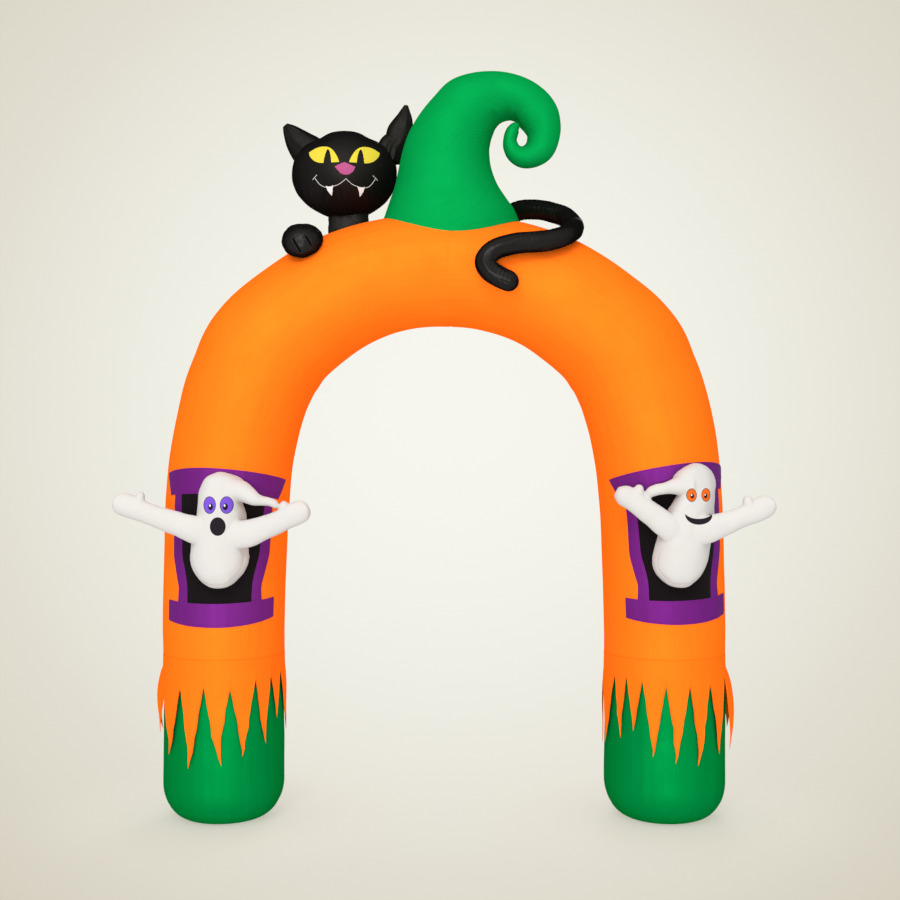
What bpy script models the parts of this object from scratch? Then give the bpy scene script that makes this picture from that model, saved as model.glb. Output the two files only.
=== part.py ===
"""Inflatable Halloween arch: an air-filled cloth tube bent over a walkway, on two green feet.

The arch stands on z = 0 with its front facing -Y. The origin is on the floor, midway between the feet.
"Left" and "right" are as seen from the front. All sizes are in metres and all bearings in degrees.
A bearing is measured round a leg from its front (-Y), towards +X.
"""

import math

import bmesh
import bpy
from mathutils import Vector

# ---------------------------------------------------------------------------------------------------------
# Driving sizes
# ---------------------------------------------------------------------------------------------------------
GAP = 0.0003  # air left between two sewn pieces, so that their solids never share space
SEAM_GAP = 0.0008  # the same between two thin panels that meet edge to edge
CUT_GAP = 0.0004  # the same where one piece is cut to its neighbour's faceted surface
CLOTH = 0.002  # thickness of a sewn-on cloth panel

TUBE_SIDES = 36
SEAM_HEIGHT = 0.600  # where the orange tube ends and the green foot begins

# The right half of the arch's middle line, from the foot's seam up to the crown. The bend is tightest at
# the shoulder, where the leg's panels meet those of the crown.
ARCH_SECTIONS = [
    # x, height, radius
    (0.809, 0.600, 0.2205),
    (0.807, 0.780, 0.2218),
    (0.802, 1.000, 0.2232),
    (0.795, 1.150, 0.2245),
    (0.781, 1.300, 0.2248),
    (0.758, 1.428, 0.2258),
    (0.733, 1.525, 0.2270),
    (0.703, 1.605, 0.2272),
    (0.6585, 1.694, 0.2310),
    (0.570, 1.789, 0.2228),
    (0.397, 1.910, 0.2160),
    (0.205, 1.979, 0.2090),
    (0.000, 2.003, 0.2085),
]
STEPS_BETWEEN_SECTIONS = [1, 1, 1, 1, 1, 1, 2, 3, 3, 3, 3, 3]

FOOT_MIDDLE = 0.340  # height of the ring of vertices half-way down the foot's wall
FOOT_FLAT_RADIUS = 0.120  # the part of the sole that lies flat
FOOT_CORNER_HEIGHT = 0.130  # the sole rounds up into the wall over this height
FOOT_CORNER_STEPS = 6

# The jagged skirt hangs from the seam, over the foot. Its teeth are uneven, and so are the two skirts.
# Depths are measured down from the seam.
SKIRT_SEAT = 0.0008  # the band's distance from the foot's skin
SKIRT_ROWS = 3
SKIRT_START = 0.002  # the skirt's top edge, below the seam
SKIRT_REACH = 0.400  # the depth at which its teeth would lie on the foot again
# Teeth in order round the leg, from the bearing where the table starts.
LEFT_TEETH_START = -60.0
LEFT_TEETH = [
    # width, the tip's depth, the depth of the cut before it
    (26.0, 0.347, 0.098),
    (24.5, 0.382, 0.110),
    (24.0, 0.370, 0.103),
    (24.2, 0.341, 0.111),
    (18.3, 0.307, 0.083),
    (16.0, 0.241, 0.074),
    (24.5, 0.245, 0.066),
    (26.0, 0.300, 0.085),
    (27.0, 0.350, 0.100),
    (25.0, 0.325, 0.095),
    (24.0, 0.360, 0.105),
    (26.5, 0.310, 0.090),
    (25.0, 0.345, 0.100),
    (25.0, 0.298, 0.088),
    (24.0, 0.330, 0.080),
]
RIGHT_TEETH_START = -60.5
RIGHT_TEETH = [
    # width, the tip's depth, the depth of the cut before it
    (15.0, 0.301, 0.077),
    (16.5, 0.256, 0.077),
    (21.5, 0.341, 0.087),
    (21.5, 0.363, 0.100),
    (22.0, 0.373, 0.100),
    (27.0, 0.345, 0.098),
    (27.0, 0.346, 0.078),
    (24.5, 0.290, 0.090),
    (26.0, 0.350, 0.105),
    (25.0, 0.320, 0.095),
    (24.0, 0.360, 0.100),
    (26.0, 0.310, 0.090),
    (24.0, 0.350, 0.105),
    (22.0, 0.300, 0.085),
    (20.0, 0.340, 0.095),
    (18.0, 0.334, 0.080),
]
SKIRT_FLARE = 0.026  # how far the free teeth stand off the foot on the outer side
SKIRT_LIE = 0.006  # and elsewhere

# A window on the front of each leg: a purple header, two curtains and a sill round a black pane.
WINDOW_BEARING = {"left": 4.0, "right": 8.0}
WINDOW_RISE = {"left": 0.0, "right": 0.010}  # the right window is sewn on a little higher
PANEL_SEAT = 0.0013  # distance of the sewn panels from the leg's skin
HEADER_BASE, HEADER_TOP = 1.185, 1.283
HEADER_BASE_HALF, HEADER_TOP_HALF = 57.0, 68.0  # half widths, in degrees of bearing
HEADER_DROOP = 0.030  # the header's ends hang lower than its middle
SILL_BASE, SILL_TOP = 0.717, 0.800
SILL_HALF = 56.0
SILL_RISE = 0.012  # the sill's lower edge curves up to its ends
# The pane's edge and the curtains' outer edge, from the sill up to the header.
CURTAIN_SECTIONS = [
    # height, inner half width, outer half width
    (0.800, 30.0, 41.0),
    (0.850, 30.3, 40.0),
    (0.885, 31.5, 42.0),
    (0.925, 33.5, 45.0),
    (0.975, 36.5, 47.5),
    (1.080, 38.0, 48.0),
    (1.185, 40.5, 49.0),
]

# Each ghost is one padded piece: a body sewn to the pane, with two arms and a drooping hood tip.
GHOST_SEAT = 0.0045  # the body's distance from the leg's skin, over the panels
GHOST_EDGE = 0.006  # thickness of the body at its sewn edge
GHOST_COLUMNS = 8
LEFT_GHOST_BODY = [
    # height, x, half width, depth
    (1.262, -0.779, 0.012, 0.020),
    (1.250, -0.776, 0.046, 0.048),
    (1.233, -0.772, 0.068, 0.072),
    (1.199, -0.772, 0.085, 0.088),
    (1.165, -0.779, 0.084, 0.090),
    (1.116, -0.783, 0.085, 0.088),
    (1.064, -0.786, 0.091, 0.086),
    (1.009, -0.788, 0.097, 0.090),
    (0.954, -0.788, 0.101, 0.094),
    (0.912, -0.788, 0.086, 0.080),
    (0.882, -0.789, 0.061, 0.056),
    (0.864, -0.790, 0.036, 0.034),
    (0.858, -0.790, 0.014, 0.018),
]
RIGHT_GHOST_BODY = [
    # height, x, half width, depth
    (1.292, 0.886, 0.014, 0.018),
    (1.281, 0.887, 0.040, 0.042),
    (1.260, 0.884, 0.068, 0.068),
    (1.228, 0.881, 0.084, 0.086),
    (1.181, 0.884, 0.082, 0.090),
    (1.132, 0.876, 0.088, 0.088),
    (1.087, 0.863, 0.094, 0.086),
    (1.042, 0.850, 0.098, 0.086),
    (1.000, 0.839, 0.100, 0.092),
    (0.952, 0.829, 0.100, 0.094),
    (0.912, 0.824, 0.086, 0.080),
    (0.885, 0.823, 0.061, 0.056),
    (0.868, 0.822, 0.036, 0.034),
    (0.862, 0.822, 0.014, 0.018),
]
ARM_DEPTH = 0.024  # half the thickness of an arm, front to back
ARM_SIDES, THUMB_SIDES = 10, 8
# Each arm's middle line, from the body out to the mitten.
LEFT_OUTER_ARM = [
    # x, y, height, half width
    (-0.800, -0.285, 1.045, 0.050),
    (-0.835, -0.285, 1.054, 0.050),
    (-0.878, -0.282, 1.068, 0.047),
    (-0.922, -0.280, 1.083, 0.041),
    (-0.968, -0.277, 1.098, 0.038),
    (-1.015, -0.275, 1.115, 0.037),
    (-1.060, -0.272, 1.132, 0.038),
    (-1.100, -0.269, 1.147, 0.041),
    (-1.130, -0.267, 1.158, 0.037),
    (-1.146, -0.266, 1.164, 0.018),
]
LEFT_INNER_ARM = [
    # x, y, height, half width
    (-0.765, -0.285, 1.045, 0.050),
    (-0.720, -0.285, 1.046, 0.050),
    (-0.675, -0.282, 1.052, 0.047),
    (-0.633, -0.280, 1.067, 0.042),
    (-0.588, -0.277, 1.085, 0.039),
    (-0.545, -0.273, 1.105, 0.038),
    (-0.512, -0.270, 1.120, 0.041),
    (-0.486, -0.268, 1.132, 0.037),
    (-0.470, -0.266, 1.139, 0.018),
]
RIGHT_INNER_ARM = [
    # x, y, height, half width
    (0.840, -0.285, 1.035, 0.050),
    (0.815, -0.285, 1.045, 0.050),
    (0.777, -0.284, 1.074, 0.046),
    (0.732, -0.281, 1.109, 0.041),
    (0.688, -0.277, 1.143, 0.038),
    (0.650, -0.273, 1.169, 0.037),
    (0.622, -0.270, 1.185, 0.035),
    (0.600, -0.267, 1.196, 0.016),
]
RIGHT_OUTER_ARM = [
    # x, y, height, half width
    (0.860, -0.285, 1.052, 0.050),
    (0.890, -0.285, 1.058, 0.050),
    (0.930, -0.283, 1.069, 0.047),
    (0.972, -0.280, 1.084, 0.041),
    (1.018, -0.277, 1.102, 0.037),
    (1.060, -0.273, 1.118, 0.037),
    (1.095, -0.270, 1.133, 0.041),
    (1.128, -0.267, 1.147, 0.038),
    (1.150, -0.266, 1.156, 0.018),
]
THUMB_LENGTH = 0.040
THUMB_RADIUS = 0.015
THUMB_RISE = 0.020  # where the thumb starts, above the arm's middle line
THUMB_LEAN = 0.010  # towards the body
THUMB_ROWS = [(0.0, 1.0), (0.5, 1.0), (0.85, 0.8), (1.0, 0.35)]  # share of its length, of its radius
THUMB_SECTION = -4  # the row of the arm that the thumb grows from, counted from the mitten
LEFT_HOOD_TIP = [
    # x, y, height, radius
    (-0.772, -0.285, 1.196, 0.040),
    (-0.714, -0.285, 1.199, 0.036),
    (-0.681, -0.283, 1.185, 0.028),
    (-0.655, -0.281, 1.171, 0.020),
    (-0.631, -0.279, 1.165, 0.015),
    (-0.608, -0.277, 1.162, 0.013),
    (-0.588, -0.275, 1.153, 0.012),
    (-0.582, -0.274, 1.141, 0.007),
]
RIGHT_HOOD_TIP = [
    # x, y, height, radius
    (0.868, -0.285, 1.212, 0.042),
    (0.820, -0.285, 1.213, 0.032),
    (0.790, -0.283, 1.211, 0.022),
    (0.763, -0.281, 1.206, 0.018),
    (0.738, -0.279, 1.202, 0.017),
    (0.718, -0.277, 1.193, 0.015),
    (0.711, -0.275, 1.182, 0.009),
]

# The hat's middle line, from inside the crown up and round to the tip of the curl.
HAT_SIDES = 24
HAT_SECTIONS = [
    # x, height, half width, half depth, y
    (0.024, 2.070, 0.292, 0.178, 0.000),
    (0.020, 2.170, 0.248, 0.164, 0.000),
    (0.014, 2.240, 0.216, 0.158, 0.000),
    (0.009, 2.310, 0.189, 0.155, 0.000),
    (0.007, 2.380, 0.169, 0.150, 0.000),
    (0.012, 2.450, 0.154, 0.145, 0.000),
    (0.038, 2.517, 0.142, 0.137, 0.000),
    (0.094, 2.590, 0.124, 0.122, 0.000),
    (0.190, 2.640, 0.097, 0.100, 0.000),
    (0.285, 2.623, 0.082, 0.086, -0.004),
    (0.347, 2.574, 0.071, 0.072, -0.010),
    (0.366, 2.506, 0.060, 0.061, -0.016),
    (0.349, 2.446, 0.050, 0.051, -0.022),
    (0.308, 2.415, 0.041, 0.042, -0.028),
    (0.262, 2.426, 0.032, 0.033, -0.034),
    (0.242, 2.466, 0.023, 0.024, -0.040),
    (0.248, 2.502, 0.018, 0.019, -0.046),
    (0.260, 2.524, 0.009, 0.009, -0.050),
]
HAT_STEPS = 2

# The cat looks over the crown from behind.
HEAD_CENTRE = Vector((-0.378, 0.145, 2.382))
HEAD_HALF = Vector((0.200, 0.150, 0.165))
HEAD_SIDES, HEAD_RINGS = 26, 16
JAW_TAPER = 0.04  # how much narrower the head is at the chin
MUZZLE_BULGE = 0.018
EAR_SIDES = 16
LEFT_EAR = [
    # x, y, height, half width, half depth
    (-0.485, 0.150, 2.440, 0.066, 0.050),
    (-0.530, 0.152, 2.478, 0.058, 0.044),
    (-0.565, 0.152, 2.515, 0.042, 0.034),
    (-0.590, 0.150, 2.546, 0.024, 0.022),
    (-0.604, 0.149, 2.566, 0.009, 0.009),
]
RIGHT_EAR = [
    # x, y, height, half width, half depth
    (-0.230, 0.150, 2.440, 0.038, 0.040),
    (-0.203, 0.160, 2.490, 0.044, 0.042),
    (-0.182, 0.168, 2.540, 0.050, 0.040),
    (-0.164, 0.172, 2.594, 0.041, 0.032),
    (-0.150, 0.172, 2.637, 0.022, 0.018),
    (-0.145, 0.172, 2.655, 0.008, 0.008),
]
NECK_SIDES, NECK_STEPS = 24, 4
NECK_HALF = (0.074, 0.064)
NECK_TOP, NECK_BOTTOM = 2.300, 2.060
NECK_X, NECK_Y = -0.363, 0.118
NECK_SPREAD = 1.06  # the neck's foot is this much wider than its top
# The front leg comes over the tube from behind and ends in the paw.
PAW_SIDES = 20
PAW_SECTIONS = [
    # x, y, height, half width, half height
    (-0.500, 0.175, 2.020, 0.030, 0.030),
    (-0.500, 0.130, 2.062, 0.044, 0.038),
    (-0.502, 0.060, 2.100, 0.050, 0.042),
    (-0.505, -0.010, 2.110, 0.056, 0.045),
    (-0.507, -0.070, 2.106, 0.067, 0.053),
    (-0.508, -0.120, 2.093, 0.072, 0.061),
    (-0.508, -0.165, 2.082, 0.069, 0.058),
    (-0.508, -0.195, 2.075, 0.048, 0.043),
    (-0.508, -0.208, 2.073, 0.018, 0.016),
]
TAIL_RADIUS = 0.0375
TAIL_BEVEL = 3
TAIL_STEPS = 2
# The tail's middle line: from behind the hat, over the crown and down its front.
TAIL_ROUTE = [
    # x, y, height
    (0.135, 0.212, 2.030),
    (0.162, 0.212, 2.130),
    (0.215, 0.190, 2.210),
    (0.275, 0.155, 2.246),
    (0.335, 0.115, 2.246),
    (0.396, 0.075, 2.230),
    (0.447, 0.030, 2.202),
    (0.471, -0.030, 2.162),
    (0.464, -0.098, 2.134),
    (0.437, -0.162, 2.106),
    (0.387, -0.204, 2.082),
    (0.307, -0.225, 2.069),
    (0.244, -0.234, 2.062),
    (0.181, -0.245, 2.041),
    (0.146, -0.253, 2.004),
    (0.156, -0.254, 1.970),
    (0.190, -0.252, 1.945),
    (0.224, -0.251, 1.930),
]

# Patches sewn on the cat's face: outlines seen from the front, from the head's centre.
PATCH_INNER, PATCH_OUTER = 0.0008, 0.0028  # the patch's back and front, above the head's skin
EYE_OUTLINE = [
    # across (away from the nose), up
    (0.0185, 0.014),
    (0.027, 0.037),
    (0.042, 0.061),
    (0.060, 0.075),
    (0.083, 0.079),
    (0.107, 0.074),
    (0.1325, 0.061),
    (0.128, 0.044),
    (0.113, 0.026),
    (0.094, 0.016),
    (0.076, 0.013),
    (0.073, 0.036),
    (0.066, 0.057),
    (0.060, 0.060),
    (0.053, 0.048),
    (0.048, 0.030),
    (0.047, 0.013),
]
EYE_SWING = 0.007  # how far the pair of eyes lies off the head's middle
NOSE_OUTLINE = [
    # across, up
    (-0.023, -0.001),
    (0.012, 0.015),
    (0.049, -0.003),
    (0.035, -0.020),
    (0.016, -0.028),
    (-0.006, -0.018),
]
FANG_HALF, FANG_LENGTH = 0.012, 0.041
FANG_TOPS = {"left": (-0.044, -0.068), "right": (0.070, -0.070)}

# ---------------------------------------------------------------------------------------------------------
# Scene
# ---------------------------------------------------------------------------------------------------------
for old in list(bpy.data.objects):
    bpy.data.objects.remove(old)

arch_parts = bpy.data.collections.new("inflatable_arch")
cutter_shapes = bpy.data.collections.new("cutters")
bpy.context.scene.collection.children.link(arch_parts)
bpy.context.scene.collection.children.link(cutter_shapes)


def cloth(name, colour, roughness):
    """A material for dyed polyester cloth."""
    material = bpy.data.materials.new(name)
    material.use_nodes = True
    shader = material.node_tree.nodes["Principled BSDF"]
    shader.inputs["Base Color"].default_value = (*colour, 1.0)
    shader.inputs["Roughness"].default_value = roughness
    shader.inputs["Metallic"].default_value = 0.0
    return material


ORANGE = cloth("orange_cloth", (1.0, 0.22, 0.02), 0.6)
GREEN = cloth("green_cloth", (0.0, 0.33, 0.06), 0.6)
PURPLE = cloth("purple_cloth", (0.19, 0.03, 0.27), 0.6)
BLACK = cloth("black_cloth", (0.015, 0.014, 0.013), 0.5)
WHITE = cloth("white_cloth", (0.88, 0.84, 0.82), 0.7)
YELLOW = cloth("yellow_cloth", (0.90, 0.70, 0.06), 0.6)
PINK = cloth("pink_cloth", (0.62, 0.10, 0.32), 0.6)


# ---------------------------------------------------------------------------------------------------------
# Helpers
# ---------------------------------------------------------------------------------------------------------
def between(low, high, share):
    return low + (high - low) * share


def curve_through(rows, steps):
    """Points of a smooth curve through the rows, with a count of steps for each stretch between two."""
    counts = steps if isinstance(steps, list) else [steps] * (len(rows) - 1)
    points = [Vector(row) for row in rows]
    before = points[0] * 2 - points[1]
    after = points[-1] * 2 - points[-2]
    points = [before, *points, after]
    found = []
    for i, count in enumerate(counts):
        p0, p1, p2, p3 = points[i : i + 4]
        for k in range(count):
            t = k / count
            found.append(
                0.5 * (2 * p1 + (p2 - p0) * t + (2 * p0 - 5 * p1 + 4 * p2 - p3) * t**2
                       + (3 * p1 - p0 - 3 * p2 + p3) * t**3)
            )
    found.append(points[-2])
    return found


def show(name, mesh, material, collection=None):
    """An object for the mesh, shaded smooth, in the arch's collection."""
    for polygon in mesh.polygons:
        polygon.use_smooth = True
    mesh.materials.append(material)
    obj = bpy.data.objects.new(name, mesh)
    (collection or arch_parts).objects.link(obj)
    return obj


def hide_as_cutter(obj):
    obj.hide_render = True
    obj.display_type = "WIRE"


def loft(name, rings, material, collection=None):
    """One closed body through rings of points, all with the same count, with flat ends."""
    bm = bmesh.new()
    loops = [[bm.verts.new(point) for point in ring] for ring in rings]
    for lower, upper in zip(loops, loops[1:]):
        for i, start in enumerate(lower):
            j = (i + 1) % len(lower)
            bm.faces.new((start, lower[j], upper[j], upper[i]))
    bm.faces.new(list(reversed(loops[0])))
    bm.faces.new(loops[-1])
    bmesh.ops.recalc_face_normals(bm, faces=bm.faces)
    mesh = bpy.data.meshes.new(name)
    bm.to_mesh(mesh)
    bm.free()
    return show(name, mesh, material, collection)


def sheet(name, grid, material, wraps=False):
    """A thin cloth over a grid of points, which gains its thickness outwards."""
    bm = bmesh.new()
    rows = [[bm.verts.new(point) for point in row] for row in grid]
    columns = len(rows[0])
    for lower, upper in zip(rows, rows[1:]):
        for i in range(columns if wraps else columns - 1):
            j = (i + 1) % columns
            bm.faces.new((lower[i], lower[j], upper[j], upper[i]))
    mesh = bpy.data.meshes.new(name)
    bm.to_mesh(mesh)
    bm.free()
    obj = show(name, mesh, material)
    thickness = obj.modifiers.new("thickness", "SOLIDIFY")
    thickness.thickness = CLOTH
    thickness.offset = 1.0
    return obj


def boolean(obj, other, operation):
    modifier = obj.modifiers.new(operation.lower(), "BOOLEAN")
    modifier.operation = operation
    modifier.object = other
    modifier.solver = "EXACT"


def mesh_from(obj):
    """The object's evaluated shape as a plain mesh object of the same name, with its caps welded."""
    bpy.context.view_layer.update()
    graph = bpy.context.evaluated_depsgraph_get()
    mesh = bpy.data.meshes.new_from_object(obj.evaluated_get(graph))
    mesh.transform(obj.matrix_world)
    bm = bmesh.new()
    bm.from_mesh(mesh)
    bmesh.ops.remove_doubles(bm, verts=bm.verts, dist=0.00001)
    bmesh.ops.recalc_face_normals(bm, faces=bm.faces)
    bm.to_mesh(mesh)
    bm.free()
    name, collection = obj.name, obj.users_collection[0]
    bpy.data.objects.remove(obj)
    mesh.name = name
    made = bpy.data.objects.new(name, mesh)
    collection.objects.link(made)
    return made


def ring_across(centre, across, up, half_across, half_up, sides):
    """Points of an ellipse round the centre, in the plane of the two directions."""
    points = []
    for k in range(sides):
        turn = 2 * math.pi * k / sides
        points.append(centre + across * (half_across * math.cos(turn)) + up * (half_up * math.sin(turn)))
    return points


def tangents(points):
    ends = [points[0], *points, points[-1]]
    return [(b - a).normalized() for a, b in zip(ends, ends[2:])]


# ---------------------------------------------------------------------------------------------------------
# The arch tube
# ---------------------------------------------------------------------------------------------------------
def arch_sections():
    """From the right foot's seam over the crown to the left one: centre, outward direction, radius."""
    mirrored = [(-x, height, radius) for x, height, radius in reversed(ARCH_SECTIONS[:-1])]
    rows = curve_through(ARCH_SECTIONS + mirrored, STEPS_BETWEEN_SECTIONS + STEPS_BETWEEN_SECTIONS[::-1])
    centres = [Vector((row[0], 0, row[1])) for row in rows]
    directions = tangents(centres)
    directions[0], directions[-1] = Vector((0, 0, 1)), Vector((0, 0, -1))
    outward = [Vector((along.z, 0, -along.x)) for along in directions]
    return [(c, o, row[2]) for c, o, row in zip(centres, outward, rows)]


def arch_rings(grow=0.0):
    back = Vector((0, 1, 0))
    return [
        ring_across(centre, back, outward, radius + grow, radius + grow, TUBE_SIDES)
        for centre, outward, radius in arch_sections()
    ]


def arch_tube():
    return loft("arch_tube", arch_rings(), ORANGE)


def arch_cutter():
    """The tube grown by a hair, which cuts the pieces that are sewn to it."""
    cutter = loft("arch_cutter", arch_rings(CUT_GAP), ORANGE, cutter_shapes)
    hide_as_cutter(cutter)
    return cutter


def on_leg(side, bearing, height, lift):
    """The point on a leg's skin at this bearing and height, lifted off it."""
    sections = arch_sections()
    for (low, low_out, low_r), (high, high_out, high_r) in zip(sections, sections[1:]):
        if height <= high.z:
            break
    share = (height - low.z) / (high.z - low.z)
    centre = low.lerp(high, share)
    outward = low_out.lerp(high_out, share).normalized()
    reach = low_r + (high_r - low_r) * share + lift
    turn = math.radians(bearing) * side
    point = centre + outward * (reach * math.sin(turn)) - Vector((0, reach * math.cos(turn), 0))
    return Vector((side * point.x, point.y, point.z))


# ---------------------------------------------------------------------------------------------------------
# Feet and skirts
# ---------------------------------------------------------------------------------------------------------
def foot(name, side):
    """A turned foot: a flat sole that rounds up into a straight wall."""
    x, _, radius = ARCH_SECTIONS[0]
    profile = [(0, SEAM_HEIGHT - GAP), (radius, SEAM_HEIGHT - GAP), (radius, FOOT_MIDDLE)]
    corner = radius - FOOT_FLAT_RADIUS
    for k in range(FOOT_CORNER_STEPS + 1):
        turn = math.pi / 2 * k / FOOT_CORNER_STEPS
        height = FOOT_CORNER_HEIGHT * (1 - math.sin(turn))
        profile.append((FOOT_FLAT_RADIUS + corner * math.cos(turn), height))
    profile.append((0, 0))
    mesh = bpy.data.meshes.new(name)
    edges = [(i, i + 1) for i in range(len(profile) - 1)]
    mesh.from_pydata([(r, 0, z) for r, z in profile], edges, [])
    obj = show(name, mesh, GREEN)
    obj.location.x = side * x
    turned = obj.modifiers.new("turned", "SCREW")
    turned.steps = turned.render_steps = TUBE_SIDES
    turned.use_merge_vertices = True
    turned.merge_threshold = 0.00005
    return obj


def skirt_edge(start, teeth):
    """(bearing, depth) along the skirt's cut edge, with four steps a tooth."""
    edge = []
    bearing = start
    for (width, tip, cut), (_, _, next_cut) in zip(teeth, teeth[1:] + teeth[:1]):
        for k in range(4):
            if k < 2:
                depth = between(cut, tip, k / 2)
            else:
                depth = between(tip, next_cut, k / 2 - 1)
            edge.append((bearing + width * k / 4, depth))
        bearing += width
    return edge


def skirt(name, side, start, teeth):
    """The jagged band round a foot. Its teeth stand off the foot, most on the outer side."""
    x, _, radius = ARCH_SECTIONS[0]
    edge = skirt_edge(start, teeth)
    grid = []
    for row in range(SKIRT_ROWS + 1):
        points = []
        for bearing, depth in edge:
            drop = depth * (1 - row / SKIRT_ROWS)
            turn = math.radians(bearing)
            outer = max(0.0, side * math.sin(turn)) ** 3
            stand = between(SKIRT_LIE, SKIRT_FLARE, outer)
            reach = radius + SKIRT_SEAT + stand * math.sin(math.pi * min(1.0, drop / SKIRT_REACH)) ** 2
            height = SEAM_HEIGHT - SKIRT_START - drop
            points.append((side * x + reach * math.sin(turn), -reach * math.cos(turn), height))
        grid.append(points)
    return sheet(name, grid, ORANGE, wraps=True)


# ---------------------------------------------------------------------------------------------------------
# Windows
# ---------------------------------------------------------------------------------------------------------
def leg_panel(name, side, place, across, up, edges, material):
    """A cloth panel on a leg. edges(s, t) gives the bearing from the window's middle, and the height."""
    window, rise = place
    grid = []
    for row in range(up + 1):
        points = []
        for column in range(across + 1):
            bearing, height = edges(column / across, row / up)
            points.append(on_leg(side, window + bearing, height + rise, PANEL_SEAT))
        grid.append(points)
    return sheet(name, grid, material)


def header_edges(s, t):
    half = between(HEADER_BASE_HALF, HEADER_TOP_HALF, t)
    droop = HEADER_DROOP * (2 * s - 1) ** 2 * between(0.45, 1.0, t)
    return between(-half, half, s), between(HEADER_BASE + SEAM_GAP, HEADER_TOP, t) - droop


def sill_edges(s, t):
    rise = SILL_RISE * (2 * s - 1) ** 2 * (1 - t)
    return between(-SILL_HALF, SILL_HALF, s), between(SILL_BASE, SILL_TOP - SEAM_GAP, t) + rise


def curtain_at(t):
    """The curtain rows' (height, inner half width, outer half width) at a share of the way up."""
    rows = curve_through(CURTAIN_SECTIONS, 2)
    place = min(t * (len(rows) - 1), len(rows) - 1.0001)
    low = int(place)
    return rows[low].lerp(rows[low + 1], place - low)


def header_underside(bearing):
    """Height of the header's lower edge at a bearing from the window's middle."""
    return HEADER_BASE - HEADER_DROOP * 0.45 * (bearing / HEADER_BASE_HALF) ** 2


def pane_height(bearing, t):
    base = curtain_at(0)[0]
    return between(base, header_underside(bearing), (curtain_at(t)[0] - base) / (HEADER_BASE - base))


def pane_edges(s, t):
    half = curtain_at(t)[1]
    bearing = between(-half, half, s)
    return bearing, pane_height(bearing, t)


def curtain_edges(hand):
    """The edges of the curtain on one hand of the window, -1 for the left and 1 for the right."""
    seam = math.degrees(SEAM_GAP / ARCH_SECTIONS[0][2])

    def edges(s, t):
        _, inner, outer = curtain_at(t)
        share = s if hand > 0 else 1 - s
        bearing = hand * between(inner + seam, outer, share)
        return bearing, pane_height(bearing, t)

    return edges


def window(hand_name, side):
    middle = WINDOW_BEARING[hand_name], WINDOW_RISE[hand_name]
    leg_panel(f"window_header_{hand_name}", side, middle, 20, 2, header_edges, PURPLE)
    leg_panel(f"window_sill_{hand_name}", side, middle, 16, 2, sill_edges, PURPLE)
    leg_panel(f"window_pane_{hand_name}", side, middle, 8, 12, pane_edges, BLACK)
    leg_panel(f"curtain_left_{hand_name}", side, middle, 2, 12, curtain_edges(-1), PURPLE)
    leg_panel(f"curtain_right_{hand_name}", side, middle, 2, 12, curtain_edges(1), PURPLE)


# ---------------------------------------------------------------------------------------------------------
# Ghosts
# ---------------------------------------------------------------------------------------------------------
def ghost_body(name, side, sections):
    """A pad that follows the leg behind it and swells in front, section by section down the ghost."""
    rings = []
    for height, x, half, depth in sections:
        front_of_leg = on_leg(side, 0, height, 0)
        axis, radius = front_of_leg.x, -front_of_leg.y
        back, front = [], []
        for k in range(GHOST_COLUMNS + 1):
            across = -math.cos(math.pi * k / GHOST_COLUMNS)
            px = x + half * across
            skin = -math.sqrt((radius + GHOST_SEAT) ** 2 - (px - axis) ** 2)
            swell = GHOST_EDGE + (depth - GHOST_EDGE) * math.sqrt(max(0.0, 1 - across**2))
            back.append(Vector((px, skin, height)))
            front.append(Vector((px, skin - swell, height)))
        rings.append(back + front[::-1])
    return loft(name, rings, WHITE)


def padded_tube(name, rows, half_depth, sides):
    """A padded tube along rows of x, y, height and half width. A round one has no half_depth."""
    centres = [Vector(row[:3]) for row in rows]
    rings = []
    for centre, along, row in zip(centres, tangents(centres), rows):
        up = along.cross(Vector((0, 1, 0))).normalized()
        depth = row[3] if half_depth is None else min(half_depth, row[3])
        rings.append(ring_across(centre, Vector((0, 1, 0)), up, depth, row[3], sides))
    return loft(name, rings, WHITE)


def thumb(name, arm):
    """A short thumb that stands up from the mitten."""
    root = Vector(arm[THUMB_SECTION][:3])
    lean = math.copysign(THUMB_LEAN, arm[0][0] - arm[-1][0])
    rows = []
    for share, radius in THUMB_ROWS:
        rise = THUMB_RISE + THUMB_LENGTH * share
        rows.append((root.x + lean * share, root.y, root.z + rise, THUMB_RADIUS * radius))
    return padded_tube(name, rows, None, THUMB_SIDES)


def ghost(name, side, sections, arms, hood_tip):
    """The body, its arms and its hood tip, joined into one padded piece."""
    body = ghost_body(name, side, sections)
    for k, arm in enumerate(arms):
        joined = padded_tube(f"{name}_arm_{k}", arm, ARM_DEPTH, ARM_SIDES), thumb(f"{name}_thumb_{k}", arm)
        for piece in joined:
            hide_as_cutter(piece)
            boolean(body, piece, "UNION")
    tip = padded_tube(f"{name}_tip", hood_tip, None, ARM_SIDES)
    hide_as_cutter(tip)
    boolean(body, tip, "UNION")
    return body


# ---------------------------------------------------------------------------------------------------------
# Hat
# ---------------------------------------------------------------------------------------------------------
def hat(crown):
    """A tapering cone that bends over and curls in on itself, cut at its foot to sit on the crown."""
    rows = curve_through(HAT_SECTIONS, HAT_STEPS)
    centres = [Vector((row[0], row[4], row[1])) for row in rows]
    rings = []
    for centre, along, row in zip(centres, tangents(centres), rows):
        across = Vector((along.z, 0, -along.x)).normalized()
        rings.append(ring_across(centre, across, Vector((0, 1, 0)), row[2], row[3], HAT_SIDES))
    obj = loft("hat", rings, GREEN)
    boolean(obj, crown, "DIFFERENCE")
    return obj


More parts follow.
